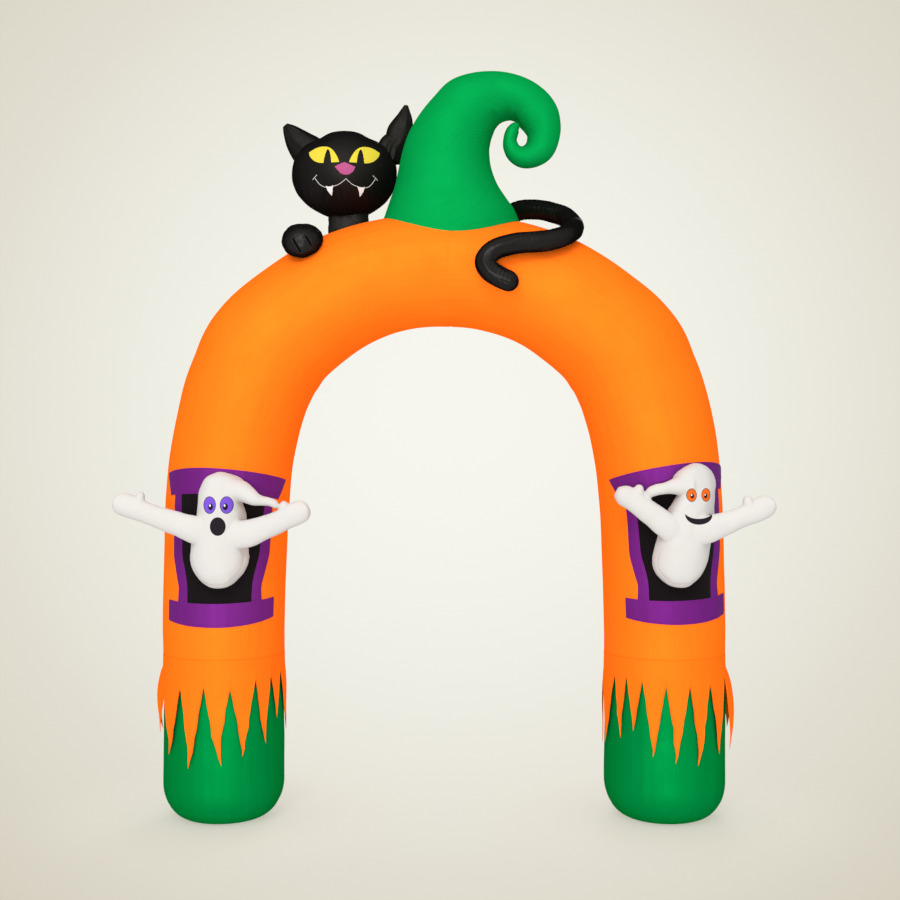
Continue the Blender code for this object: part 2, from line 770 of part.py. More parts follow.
# ---------------------------------------------------------------------------------------------------------
# Cat
# ---------------------------------------------------------------------------------------------------------
def head_mesh(name, grow, collection=None):
    """The head: a sphere stretched to its half sizes, narrower at the chin and fuller at the muzzle."""
    bm = bmesh.new()
    bmesh.ops.create_uvsphere(bm, u_segments=HEAD_SIDES, v_segments=HEAD_RINGS, radius=1.0)
    for vertex in bm.verts:
        unit = vertex.co.normalized()
        taper = 1 - JAW_TAPER * max(0.0, -unit.z) ** 2
        place = Vector((unit.x * HEAD_HALF.x * taper, unit.y * HEAD_HALF.y, unit.z * HEAD_HALF.z))
        if unit.y < 0:
            nearness = math.exp(-((unit.x / 0.55) ** 2) - ((unit.z + 0.22) / 0.40) ** 2)
            place.y -= MUZZLE_BULGE * nearness * -unit.y
        vertex.co = HEAD_CENTRE + place + place.normalized() * grow
    mesh = bpy.data.meshes.new(name)
    bm.to_mesh(mesh)
    bm.free()
    return show(name, mesh, BLACK, collection)


def ear(name, sections, head_cutter):
    rows = curve_through(sections, 2)
    centres = [Vector(row[:3]) for row in rows]
    rings = []
    for centre, along, row in zip(centres, tangents(centres), rows):
        across = along.cross(Vector((0, 1, 0))).normalized()
        rings.append(ring_across(centre, across, Vector((0, 1, 0)), row[3], row[4], EAR_SIDES))
    obj = loft(name, rings, BLACK)
    boolean(obj, head_cutter, "DIFFERENCE")
    return obj


def neck(head_cutter, crown):
    rings = []
    for k in range(NECK_STEPS + 1):
        share = k / NECK_STEPS
        height = between(NECK_BOTTOM, NECK_TOP, share)
        spread = between(NECK_SPREAD, 1.0, share)
        centre = Vector((NECK_X, NECK_Y, height))
        rings.append(
            ring_across(centre, Vector((1, 0, 0)), Vector((0, 1, 0)),
                        NECK_HALF[0] * spread, NECK_HALF[1] * spread, NECK_SIDES)
        )
    obj = loft("cat_neck", rings, BLACK)
    boolean(obj, head_cutter, "DIFFERENCE")
    boolean(obj, crown, "DIFFERENCE")
    return obj


def paw(crown):
    rings = []
    for x, y, height, half_width, half_height in PAW_SECTIONS:
        centre = Vector((x, y, height))
        rings.append(
            ring_across(centre, Vector((1, 0, 0)), Vector((0, 0, 1)), half_width, half_height, PAW_SIDES)
        )
    obj = loft("cat_paw", rings, BLACK)
    boolean(obj, crown, "DIFFERENCE")
    return obj


def tail(crown):
    """A round tube with a rounded tip."""
    route = curve_through(TAIL_ROUTE, TAIL_STEPS)
    end, along = route[-1], (route[-1] - route[-2]).normalized()
    widths = [1.0] * len(route)
    for share in (0.5, 0.8, 0.95):
        route.append(end + along * (TAIL_RADIUS * share))
        widths.append(math.sqrt(1 - share**2))
    curve = bpy.data.curves.new("cat_tail", "CURVE")
    curve.dimensions = "3D"
    curve.bevel_depth = TAIL_RADIUS
    curve.bevel_resolution = TAIL_BEVEL
    curve.use_fill_caps = True
    spline = curve.splines.new("POLY")
    spline.points.add(len(route) - 1)
    for point, place, width in zip(spline.points, route, widths):
        point.co = (*place, 1.0)
        point.radius = width
    obj = bpy.data.objects.new("cat_tail", curve)
    arch_parts.objects.link(obj)
    obj = mesh_from(obj)
    obj.data.materials.append(BLACK)
    boolean(obj, crown, "DIFFERENCE")
    return obj


def face_patch(name, outline, material, inner, outer):
    """A cloth patch on the cat's face: its outline pushed back onto the head, between two grown heads."""
    curve = bpy.data.curves.new(name, "CURVE")
    curve.dimensions = "2D"
    curve.fill_mode = "BOTH"
    curve.extrude = HEAD_HALF.y * 0.6
    spline = curve.splines.new("POLY")
    spline.points.add(len(outline) - 1)
    for point, (across, up) in zip(spline.points, outline):
        point.co = (across, up, 0, 1.0)
    spline.use_cyclic_u = True
    obj = bpy.data.objects.new(name, curve)
    arch_parts.objects.link(obj)
    obj.rotation_euler.x = math.pi / 2
    obj.location = HEAD_CENTRE - Vector((0, HEAD_HALF.y * 0.85, 0))
    obj = mesh_from(obj)
    obj.data.materials.append(material)
    boolean(obj, outer, "INTERSECT")
    boolean(obj, inner, "DIFFERENCE")
    return obj


def face():
    inner = head_mesh("patch_back", PATCH_INNER, cutter_shapes)
    outer = head_mesh("patch_front", PATCH_OUTER, cutter_shapes)
    hide_as_cutter(inner)
    hide_as_cutter(outer)
    for hand_name, hand in (("left", -1), ("right", 1)):
        eye = [(EYE_SWING + hand * across, up) for across, up in EYE_OUTLINE]
        face_patch(f"cat_eye_{hand_name}", eye, YELLOW, inner, outer)
        x, top = FANG_TOPS[hand_name]
        fang = [(x - FANG_HALF, top), (x + FANG_HALF, top), (x, top - FANG_LENGTH)]
        face_patch(f"cat_fang_{hand_name}", fang, WHITE, inner, outer)
    face_patch("cat_nose", NOSE_OUTLINE, PINK, inner, outer)


def cat(crown):
    head_mesh("cat_head", 0.0)
    head_cutter = head_mesh("head_cutter", CUT_GAP, cutter_shapes)
    hide_as_cutter(head_cutter)
    ear("cat_ear_left", LEFT_EAR, head_cutter)
    ear("cat_ear_right", RIGHT_EAR, head_cutter)
    neck(head_cutter, crown)
    paw(crown)
    tail(crown)
    face()


# ---------------------------------------------------------------------------------------------------------
# The whole arch
# ---------------------------------------------------------------------------------------------------------
arch_tube()
crown_cutter = arch_cutter()
for hand, leg_side in (("left", -1), ("right", 1)):
    foot(f"foot_{hand}", leg_side)
    window(hand, leg_side)
skirt("skirt_left", -1, LEFT_TEETH_START, LEFT_TEETH)
skirt("skirt_right", 1, RIGHT_TEETH_START, RIGHT_TEETH)
ghost("ghost_left", -1, LEFT_GHOST_BODY, (LEFT_OUTER_ARM, LEFT_INNER_ARM), LEFT_HOOD_TIP)
ghost("ghost_right", 1, RIGHT_GHOST_BODY, (RIGHT_INNER_ARM, RIGHT_OUTER_ARM), RIGHT_HOOD_TIP)
hat(crown_cutter)
cat(crown_cutter)
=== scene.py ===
"""Dresses the inflatable Halloween arch: smooth air-filled cloth in place of the plain CAD solids.

Metres, +Z up, front facing -Y. "Left" and "right" are as seen from the front. A turn is measured round the
tube from its front (-Y) towards the outer side of the arch, and a bearing in degrees from the front towards
+X. "Lift" is a distance off a piece's surface.
"""

import math
from functools import partial

import bmesh
import bpy
import numpy as np
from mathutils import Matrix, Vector, noise
from mathutils.bvhtree import BVHTree


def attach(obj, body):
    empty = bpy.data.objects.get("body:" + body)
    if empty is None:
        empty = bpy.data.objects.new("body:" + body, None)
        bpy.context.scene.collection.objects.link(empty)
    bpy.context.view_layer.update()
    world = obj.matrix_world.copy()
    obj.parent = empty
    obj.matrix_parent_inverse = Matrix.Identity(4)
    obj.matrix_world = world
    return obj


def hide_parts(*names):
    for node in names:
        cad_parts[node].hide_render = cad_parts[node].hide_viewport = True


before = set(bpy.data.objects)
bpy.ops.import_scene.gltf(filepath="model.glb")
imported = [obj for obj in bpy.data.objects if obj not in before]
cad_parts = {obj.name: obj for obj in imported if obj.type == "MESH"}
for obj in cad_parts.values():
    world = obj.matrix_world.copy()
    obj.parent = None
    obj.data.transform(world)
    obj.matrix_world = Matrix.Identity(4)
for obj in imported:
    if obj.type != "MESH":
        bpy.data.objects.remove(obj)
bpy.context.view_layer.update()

SCENE = bpy.context.scene
SIDES = (("left", -1), ("right", 1))
TAU = 2 * math.pi


def mm(rows):
    """Rows of millimetres as metres."""
    return [tuple(v / 1000 for v in row) for row in rows]


# --- Sizes, as in the CAD ---
SEAM_HEIGHT = 0.6
SEAM_CLEAR = 0.0003  # between the tube and a foot
LEG_X, LEG_RADIUS = 0.8, 0.2235  # of the straight part behind the windows
CROWN_SEAM_X, CROWN_HEIGHT = 0.024, 1.5
ARCH_RINGS, ARCH_SIDES = 430, 144
# x, height, radius
ARCH_SECTIONS = mm([
    (809, 600, 220.5), (807, 780, 221.8), (802, 1000, 223.2), (795, 1150, 224.5), (781, 1300, 224.8),
    (758, 1428, 225.8), (733, 1525, 227), (703, 1605, 227.2), (658.5, 1694, 231), (570, 1789, 222.8),
    (397, 1910, 216), (205, 1979, 209), (0, 2003, 208.5),
])

FOOT_X, FOOT_RADIUS = 0.809, 0.2205
FOOT_FLAT_RADIUS, FOOT_CORNER_HEIGHT = 0.12, 0.13
FOOT_SIDES, TOE_SEAM = 144, 0.052

# x and height of the outer edge and of the inner edge as seen from the front, half depth, y
HAT_SECTIONS = mm([
    (-268, 2070, 316, 2070, 178, 0), (-218, 2209, 264, 2209, 170, 0), (-200, 2260, 231, 2260, 163, 0),
    (-181, 2315, 196, 2315, 158, 0), (-167, 2378, 174, 2378, 155, 0), (-152, 2444, 168, 2437, 150, 0),
    (-130, 2507, 173, 2477, 145, 0), (-93, 2571, 187, 2518, 140, 0), (-43, 2633, 205, 2543, 124, 0),
    (20, 2695, 227, 2554, 112, 0), (106, 2725, 245, 2556, 102, 0), (205, 2729, 260, 2550, 96, -3),
    (298, 2706, 273, 2535, 94, -6), (370, 2660, 287, 2517, 85, -10), (414, 2600, 298, 2503, 77, -14),
    (428, 2532, 304, 2488, 68, -18), (422, 2476, 302, 2472, 61, -21), (402, 2424, 296, 2459, 56, -25),
    (369, 2390, 288, 2452, 51, -29), (321, 2371, 280, 2450, 45, -33), (273, 2373, 272, 2455, 40, -37),
    (234, 2400, 267, 2464, 35, -41), (215, 2441, 265, 2471, 29, -44), (216, 2481, 268, 2484, 26, -46),
    (226, 2510, 272, 2497, 24, -48), (238, 2524, 271, 2507, 18, -49), (248, 2531, 274, 2512, 14, -50),
    (260, 2534, 274, 2519, 9, -51), (269, 2532, 273, 2526, 3, -52),
])

HEAD_CENTRE = np.array((-0.378, 0.145, 2.382))
HEAD_HALF = np.array((0.2, 0.15, 0.165))
JAW_TAPER, MUZZLE_BULGE = 0.04, 0.018
FOREHEAD_DENTS = [(-0.098, 0.14), (0.1, 0.136)]  # beside the ears, from the head's centre
# x, y, height, half width, half depth
EARS = {
    "left": mm([
        (-483, 150, 2442, 68, 50), (-527, 152, 2482, 62, 44), (-561, 152, 2520, 47, 34),
        (-587, 150, 2551, 29, 22), (-604, 149, 2571, 12, 9),
    ]),
    "right": mm([
        (-215, 150, 2440, 52, 44), (-201, 158, 2483, 57, 45), (-178, 164, 2517, 51, 41),
        (-167, 169, 2558, 50, 37), (-155, 172, 2601, 34, 28), (-149, 172, 2634, 17, 16),
        (-146, 172, 2653, 8, 8),
    ]),
}
EAR_SEED = {"left": 5, "right": 15}
NECK_X, NECK_Y, NECK_FOOT, NECK_TOP = -0.363, 0.147, 2.08, 2.262
NECK_HALF = (0.074, 0.042)
# x, y, height, half width, half height
PAW_SECTIONS = mm([
    (-500, 175, 2020, 30, 30), (-500, 130, 2062, 44, 38), (-502, 60, 2100, 50, 42),
    (-505, -10, 2110, 56, 45), (-507, -70, 2106, 67, 53), (-508, -120, 2093, 72, 61),
    (-508, -165, 2082, 69, 58), (-508, -195, 2075, 48, 43), (-508, -208, 2073, 22, 19),
    (-508, -211, 2073, 2, 2),
])
# x, height of the middle, half length
TOE_CREASES = [(-0.52, 2.0616, 0.0225), (-0.478, 2.079, 0.0155)]
TOE_LEAN = -0.6  # sideways for each metre up
TAIL_RADIUS, TAIL_SIDES = 0.0375, 56
# x, y, height
TAIL_ROUTE = mm([
    (135, 212, 2030), (162, 212, 2130), (215, 190, 2210), (275, 155, 2246), (335, 115, 2246),
    (396, 75, 2230), (447, 30, 2202), (471, -30, 2162), (464, -98, 2134), (437, -162, 2106),
    (387, -204, 2082), (307, -225, 2069), (244, -234, 2062), (181, -245, 2041), (146, -253, 2004),
    (156, -254, 1970), (190, -252, 1945), (224, -251, 1930),
])

# Teeth in order round the leg: width in degrees, then the tip's depth, the depth of the cut before it, and
# the hook in mm, which bends the tip sideways, towards +X at the front.
TEETH = {
    "left": [
        (26.5, 347, 150, -10), (24.5, 382, 101, -8), (23.5, 370, 94, 19), (24.2, 341, 102, -5),
        (18.3, 307, 74, 6), (16, 225, 65, -4), (24.5, 245, 57, 4), (26, 300, 76, -6), (27, 350, 91, 10),
        (25, 325, 86, -14), (24, 360, 96, 6), (26.5, 310, 81, 0), (25, 345, 91, 12), (23, 290, 79, -4),
        (26, 284, 71, -4),
    ],
    "right": [
        (15, 287, 67, 5), (16.5, 256, 67, 0), (21.5, 341, 77, -4), (21.5, 363, 90, -12), (22, 373, 90, -8),
        (27, 345, 88, 0), (27, 346, 68, -4), (24.5, 290, 80, 4), (24, 350, 95, -8), (23, 320, 85, 12),
        (22.5, 360, 90, 0), (24, 310, 80, -12), (22, 350, 95, 6), (20.5, 300, 75, 0), (19, 340, 85, 6),
        (30, 326, 75, -12),
    ],
}
TEETH_START = {"left": -60, "right": -60.5}
SKIRT_SEED = {"left": 2, "right": 6}
SKIRT_SEAT, SKIRT_START = -0.0011, 0.0003
SKIRT_LIE, EDGE_CURL = 0.004, 0.0022
FLAP_TOP = 0.048
# bearing, spread, reach and length of the tooth that is blown outwards
FREE_FLAP = {"left": (-92, 17, 0.022, 0.26), "right": (94, 20, 0.031, 0.34)}

# bearing of the middle, rise, and how far the right-hand end is raised
WINDOW = {"left": (4, 0, 0.0065), "right": (8, 0.01, 0.0025)}
PANEL_SEAT, PANEL_PUFF = 0.0013, 0.001  # off the tube at its edge, and how much more further in
CLOTH = 0.0012  # thickness
# Each at its lower and its upper edge: height, half width, and how far the ends rise
HEADER_HEIGHT, HEADER_HALF, HEADER_RISE = (1.185, 1.2755), (57, 68), (-0.0135, -0.03)
SILL_HEIGHT, SILL_HALF, SILL_RISE = (0.716, 0.8), (56, 56), (0.022, 0.01)
SILL_SPAN = {"left": (1, 56), "right": (0.6, 54.4)}  # how far its middle is turned, and its half width
SEAM_GAP = 0.0004
# height, inner half width, outer half width
CURTAIN_SECTIONS = [
    (0.8, 30, 41), (0.85, 30.3, 40.5), (0.885, 31.5, 43), (0.925, 34, 46), (0.975, 37, 48.8),
    (1.08, 38.5, 49.3), (1.185, 41, 50),
]

GHOST_SEAT, GHOST_EDGE = 0.0045, 0.006
GHOST_VOXEL, GHOST_ROUNDS = 0.0034, 22
# height, x, half width, depth
GHOST_BODY = {
    "left": mm([
        (1262, -779, 12, 28), (1250, -776, 46, 54), (1233, -772, 68, 66), (1199, -772, 83, 72),
        (1162, -784, 76, 74), (1116, -780, 84, 74), (1064, -786, 91, 74), (1009, -788, 97, 74),
        (954, -788, 101, 74), (912, -788, 86, 71), (882, -789, 61, 62), (864, -790, 36, 45),
        (858, -790, 14, 22),
    ]),
    "right": mm([
        (1292, 886, 14, 26), (1281, 887, 40, 50), (1260, 884, 68, 64), (1228, 881, 84, 72),
        (1190, 889, 71, 74), (1160, 880, 78, 74), (1130, 870, 87, 74), (1087, 863, 94, 74),
        (1042, 850, 98, 74), (1000, 839, 100, 74), (952, 829, 100, 74), (912, 824, 86, 71),
        (885, 823, 61, 62), (868, 822, 36, 45), (862, 822, 14, 22),
    ]),
}
ARM_DEPTH = 0.024
# x, y, height, half width
GHOST_ARMS = {
    "left": (mm([
        (-800, -268, 1045, 46), (-835, -274, 1054, 49), (-878, -282, 1068, 47), (-922, -280, 1083, 41),
        (-968, -277, 1098, 38), (-1015, -275, 1115, 37), (-1060, -272, 1132, 38), (-1100, -269, 1147, 41),
        (-1130, -267, 1158, 37), (-1146, -266, 1164, 18),
    ]), mm([
        (-765, -268, 1045, 46), (-720, -274, 1046, 49), (-675, -282, 1052, 47), (-633, -280, 1067, 42),
        (-588, -277, 1085, 39), (-545, -273, 1105, 38), (-512, -270, 1120, 41), (-486, -268, 1132, 37),
        (-470, -266, 1139, 18),
    ])),
    "right": (mm([
        (840, -268, 1035, 46), (815, -274, 1045, 49), (777, -284, 1074, 46), (732, -281, 1109, 41),
        (688, -277, 1143, 38), (650, -273, 1169, 37), (622, -270, 1185, 35), (600, -267, 1196, 16),
    ]), mm([
        (860, -268, 1052, 46), (890, -274, 1058, 49), (930, -283, 1069, 47), (972, -280, 1084, 41),
        (1018, -277, 1102, 37), (1060, -273, 1118, 37), (1095, -270, 1133, 41), (1128, -267, 1147, 38),
        (1150, -266, 1156, 18),
    ])),
}
# x, height, and how far the tip leans in x
THUMB_ROOTS = {
    "left": [(-1.06, 1.132, 0.01), (-0.562, 1.098, 0.01)],
    "right": [(0.672, 1.155, 0.006), (1.06, 1.118, -0.01)],
}
THUMB_RADIUS, THUMB_START, THUMB_LENGTH = 0.017, 0.012, 0.052
THUMB_SHAPE = ((0, 1), (0.5, 1), (0.85, 0.8), (1, 0.35))  # share of the length, share of the radius
# x, y, height, radius
HOOD_TIP = {
    "left": mm([
        (-772, -258, 1196, 40), (-714, -264, 1199, 36), (-681, -270, 1184, 30), (-655, -281, 1170, 23),
        (-631, -279, 1164, 16), (-608, -277, 1161, 14.5), (-588, -275, 1152, 13.5), (-579, -274, 1139, 9),
    ]),
    "right": mm([
        (868, -258, 1214, 38), (820, -266, 1215, 33), (790, -272, 1211, 24), (763, -281, 1206, 19.5),
        (738, -279, 1202, 18.5), (716, -277, 1192, 18), (706, -276, 1176, 10),
    ]),
}

# across, away from the nose, and up, from the head's centre
EYE_OUTLINE = mm([
    (18.5, 14), (27, 37), (42, 61), (60, 75), (83, 79), (107, 74), (132.5, 61), (128, 44), (113, 26),
    (94, 16), (76, 13), (73, 38), (67, 60), (61, 67), (54, 56), (49, 34), (47, 13),
])
EYE_CORNERS = (0, 6, 10, 16)  # rows of the outline that stay sharp
EYE_SWING = 0.011
EYE_STRETCH = {"left": 1.01, "right": 0.95}
NOSE_OUTLINE = mm([
    (-23.7, -3), (11.1, 13.5), (51, -3), (41.6, -21.5), (23.3, -32.5), (1.9, -30), (-11.5, -17.8),
])
NOSE_CORNERS = (0, 1, 2)
# a fang's outline before and after its tip, from the middle of its top
FANG_OUTLINE = mm([(-13.5, 0), (-6.75, -3), (5.4, -3), (13.5, 1), (8.37, -14.85)]), mm([(-8.37, -14.85)])
FANG_TIP = (0.006, -0.033)
FANG_TOPS = {"left": (-0.044, -0.068), "right": (0.07, -0.07)}
# across, up, from the head's centre: half of the mouth line, from its outer end to the middle
SMILE = mm([
    (-100, -38), (-85, -58), (-69, -69.5), (-49.9, -73.5), (-16.3, -68), (2, -58.6), (17.3, -46.4),
])
SMILE_STRETCH = 0.9  # of the right half against the left one
SMILE_TICK = (0.008, -0.005), (-0.009, 0.01)  # the short stroke across each end
SMILE_RADIUS, SMILE_LIFT = 0.0013, 0.0004
EYE_LIFT, NOSE_LIFT, FANG_LIFT, PATCH_CLOTH = 0.0012, 0.0014, 0.0016, 0.001
PATCH_EDGE = 0.006


# --- Camera, lights and stage ---
PHOTO_PIXELS, FOCAL_PIXELS = 900, 1304.3
SENSOR = 36
CAMERA_PLACE = (0.021, -4.8, 1.34)
SOFTBOXES = {
    # place, target, size, watts
    "key": ((-1.6, -9, 8.5), (0, 0, 1.4), (4, 3), 560),
    "front": ((-1.7, -11, 3.4), (0, 0, 1.2), (3, 3), 115),
    "low": ((-1, -9, 0.25), (0, 0, 0.5), (2.4, 0.4), 230),
    "back": ((1.5, 8, 6), (0, 0, 1.4), (4, 3), 350),
}
GLOW_AHEAD, GLOW_ASIDE = 1.22, 0.86
FLOOR_REACH = 4
FLOOR_FADE = (0.16, 0.85, 0.36, 0)  # two distances from a foot's middle, and the floor's opacity there


def added(name, data):
    """A new object in the scene."""
    obj = bpy.data.objects.new(name, data)
    SCENE.collection.objects.link(obj)
    return obj


def set_stage():
    lens = bpy.data.cameras.new("camera")
    lens.sensor_width = SENSOR
    lens.lens = SENSOR * FOCAL_PIXELS / PHOTO_PIXELS
    camera = added("camera", lens)
    camera.location, camera.rotation_euler = CAMERA_PLACE, (math.pi / 2, 0, 0)
    SCENE.camera = camera
    SCENE.view_settings.view_transform = "Standard"
    SCENE.view_settings.look = "None"
    for name, (place, target, size, watts) in SOFTBOXES.items():
        data = bpy.data.lights.new(name, "AREA")
        data.shape, data.energy = "RECTANGLE", watts
        data.size, data.size_y = size
        light = added(name, data)
        light.location = place
        light.rotation_euler = (Vector(target) - Vector(place)).to_track_quat("-Z", "Y").to_euler()
    backdrop()
    floor()


def backdrop():
    """A pale studio: a glow straight ahead to look at, and soft light that is weaker from the sides."""
    world = bpy.data.worlds.new("studio")
    SCENE.world = world
    tree = Tree(world)
    tree.nodes.clear()
    place = tree.node("TexCoord").outputs["Generated"]
    ahead = Vector((0, 1, 0.038)).normalized()
    spot = tree.node("VectorMath", {0: place, 1: ahead}, operation="DOT_PRODUCT").outputs["Value"]
    ramp = tree.node("ValToRGB", {"Fac": spot})
    first, last = ramp.color_ramp.elements
    first.position, first.color = 0.88, (*linear(212, 206, 190), 1)
    last.position, last.color = 1, (*linear(246, 246, 238), 1)
    ramp.color_ramp.elements.new(0.94).color = (*linear(226, 223, 210), 1)
    side = tree.node("SeparateXYZ", {0: place}).outputs["X"]
    strength = tree.range(tree.math("MULTIPLY", side, side), 0, 1, GLOW_AHEAD, GLOW_ASIDE)
    light = tree.node("Background", {"Color": (1, 1, 1, 1), "Strength": strength}).outputs[0]
    seen = tree.node("Background", {"Color": ramp.outputs["Color"]}).outputs[0]
    looking = tree.node("LightPath").outputs["Is Camera Ray"]
    mixed = tree.node("MixShader", {0: looking, 1: light, 2: seen}).outputs[0]
    tree.node("OutputWorld", {"Surface": mixed})


def floor():
    """A pale floor under the arch that fades into the studio round the feet."""
    mesh = bpy.data.meshes.new("floor")
    corners = [(x * FLOOR_REACH, y * FLOOR_REACH, 0) for x, y in ((-1, -1), (1, -1), (1, 1), (-1, 1))]
    mesh.from_pydata(corners, [], [(0, 1, 2, 3)])
    obj = added("floor", mesh)
    tree = Tree(bpy.data.materials.new("floor_paper"))
    place = tree.node("TexCoord").outputs["Object"]
    folded = tree.node("VectorMath", {0: place}, operation="ABSOLUTE").outputs[0]
    nearest = tree.node("VectorMath", {0: folded, 1: (FOOT_X, 0, 0)}, operation="DISTANCE").outputs["Value"]
    tree.shade({"Roughness": 0.9, "Specular IOR Level": 0, "Base Color": (*linear(194, 192, 182), 1),
                "Alpha": tree.range(nearest, *FLOOR_FADE, "SMOOTHSTEP")})
    mesh.materials.append(tree.owner)


def linear(*rgb):
    """Linear light for a colour given as 8-bit sRGB."""
    return [(v / 255 / 12.92) if v <= 10 else ((v / 255 + 0.055) / 1.055) ** 2.4 for v in rgb]


# --- Curves and grids ---
def smooth_rows(rows, steps):
    """A smooth curve through the rows, with the same count of steps between each two."""
    rows = np.asarray(rows, float)
    padded = np.vstack([2 * rows[0] - rows[1], rows, 2 * rows[-1] - rows[-2]])
    t = (np.arange(steps) / steps)[:, None]
    found = [0.5 * (2 * p1 + (p2 - p0) * t + (2 * p0 - 5 * p1 + 4 * p2 - p3) * t**2
                    + (3 * p1 - p0 - 3 * p2 + p3) * t**3)
             for p0, p1, p2, p3 in zip(padded, padded[1:], padded[2:], padded[3:])]
    return np.vstack([*found, rows[-1:]])


def run_of(points):
    """The distance along a line at each of its points."""
    return np.concatenate([[0], np.cumsum(np.linalg.norm(np.diff(points, axis=0), axis=1))])


def even_rows(rows, count, columns):
    """The rows resampled at even distances along the named columns, and those distances."""
    along = run_of(rows[:, columns])
    at = np.linspace(0, along[-1], count)
    return sampled(at, along, rows), at


def sampled(at, along, rows):
    """Every column of the rows at places along them."""
    return xyz(*(np.interp(at, along, column) for column in rows.T))


def xyz(*columns):
    """Points, or uv pairs, from their columns."""
    return np.stack(np.broadcast_arrays(*columns), axis=-1)


def unit(vectors):
    return vectors / np.maximum(np.linalg.norm(vectors, axis=-1, keepdims=True), 1e-12)


def tangents(points):
    return unit(np.gradient(points, axis=0))


def turns(count):
    return np.linspace(0, TAU, count, endpoint=False)


def between(pair, share):
    return pair[0] + (pair[1] - pair[0]) * share


def ramp(value, start, length, low=0):
    """Rises from low to 1 over the length after start."""
    return np.clip((value - start) / length, low, 1)


def bump_at(value, centre, width):
    """A soft bump of height 1."""
    return np.exp(-(((value - centre) / width) ** 2))


def grain(points, scale=1, seed=0):
    """Smooth noise from about -0.5 to 0.5 at each point. scale is in waves a metre, one number or three."""
    flat = (points.reshape(-1, 3) * scale + seed).tolist()
    return np.array([noise.noise(p) for p in flat]).reshape(points.shape[:-1])


def round_places(turn, along, size, scale):
    """Places for grain that closes round a ring. size sets the waves round it, scale those along it."""
    return xyz(np.cos(turn) * size, np.sin(turn) * size, along * scale)


def swept(centre, across, deep, half_across, half_deep, turn):
    """Rings round a line of centres, each with its own two half widths."""
    across, deep = (np.atleast_2d(way)[:, None] for way in (across, deep))
    return (centre[:, None] + across * (np.cos(turn) * half_across)[..., None]
            + deep * (np.sin(turn) * half_deep)[..., None])


def rework(mesh, work):
    """Runs work on the mesh in its editable form."""
    bm = bmesh.new()
    bm.from_mesh(mesh)
    work(bm)
    bm.to_mesh(mesh)
    bm.free()


def skin(grid, uv=None, wrap=True, caps=True, rim=None):
    """A mesh over a grid of points. uv is the cloth's own coordinates, and rim the way to its edge."""
    rows, columns = grid.shape[:2]
    index = np.arange(rows * columns).reshape(rows, columns)
    near = index if wrap else index[:, :-1]
    far = np.roll(index, -1, axis=1) if wrap else index[:, 1:]
    faces = np.stack([near[:-1], far[:-1], far[1:], near[1:]], axis=-1).reshape(-1, 4).tolist()
    if wrap and caps:
        faces += [index[0, ::-1].tolist(), index[-1].tolist()]
    mesh = bpy.data.meshes.new("grid")
    mesh.from_pydata(grid.reshape(-1, 3).tolist(), [], faces)
    if uv is not None:
        corner = np.stack([uv[:-1, :-1], uv[:-1, 1:], uv[1:, 1:], uv[1:, :-1]], axis=2).reshape(-1, 2)
        filled = np.zeros((len(mesh.loops), 2), np.float32)
        filled[: len(corner)] = corner
        mesh.uv_layers.new(name="cloth").data.foreach_set("uv", filled.ravel())
    if rim is not None:
        field = mesh.attributes.new("rim", "FLOAT", "POINT")
        field.data.foreach_set("value", rim.ravel().astype(np.float32))
    if wrap:
        rework(mesh, lambda bm: bmesh.ops.recalc_face_normals(bm, faces=bm.faces))
    return mesh


def cloth_uv(lengths, radius, sides):
    """The cloth's own coordinates on a grid of rings: metres round it, and metres along it."""
    girth = np.linspace(0, TAU, sides + 1) * np.reshape(radius, (-1, 1))
    return xyz(girth, lengths[:, None])


def sharpen_edges(bm):
    for edge in bm.edges:
        if edge.is_boundary:
            edge.smooth = False


def dress(node, mesh, material, name=None, thick=0):
    """Puts the mesh in the scene as the piece of cloth that stands for the CAD node."""
    mesh.shade_smooth()
    mesh.set_sharp_from_angle(angle=math.radians(55))
    rework(mesh, sharpen_edges)
    mesh.materials.clear()
    mesh.materials.append(material)
    mesh.name = name or f"{node}_cloth"
    obj = added(mesh.name, mesh)
    if thick:
        modifier = obj.modifiers.new("thickness", "SOLIDIFY")
        modifier.thickness, modifier.offset = thick, 1
    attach(obj, "root")
    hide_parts(node)
    return obj


def pad(node, mesh, material, name=None):
    """Dresses the mesh of a piece that is full of air or stuffing, just as dress does."""
    piece = dress(node, mesh, material, name)
    return piece


# --- Cloth materials ---
WEAVE_PITCH = 0.0012  # two yarns of the woven polyester
HEM_STITCH, HEM_WIDTH, HEM_DEPTH = 0.006, 0.0022, 0.0006  # the stitches' way from the edge, and their size


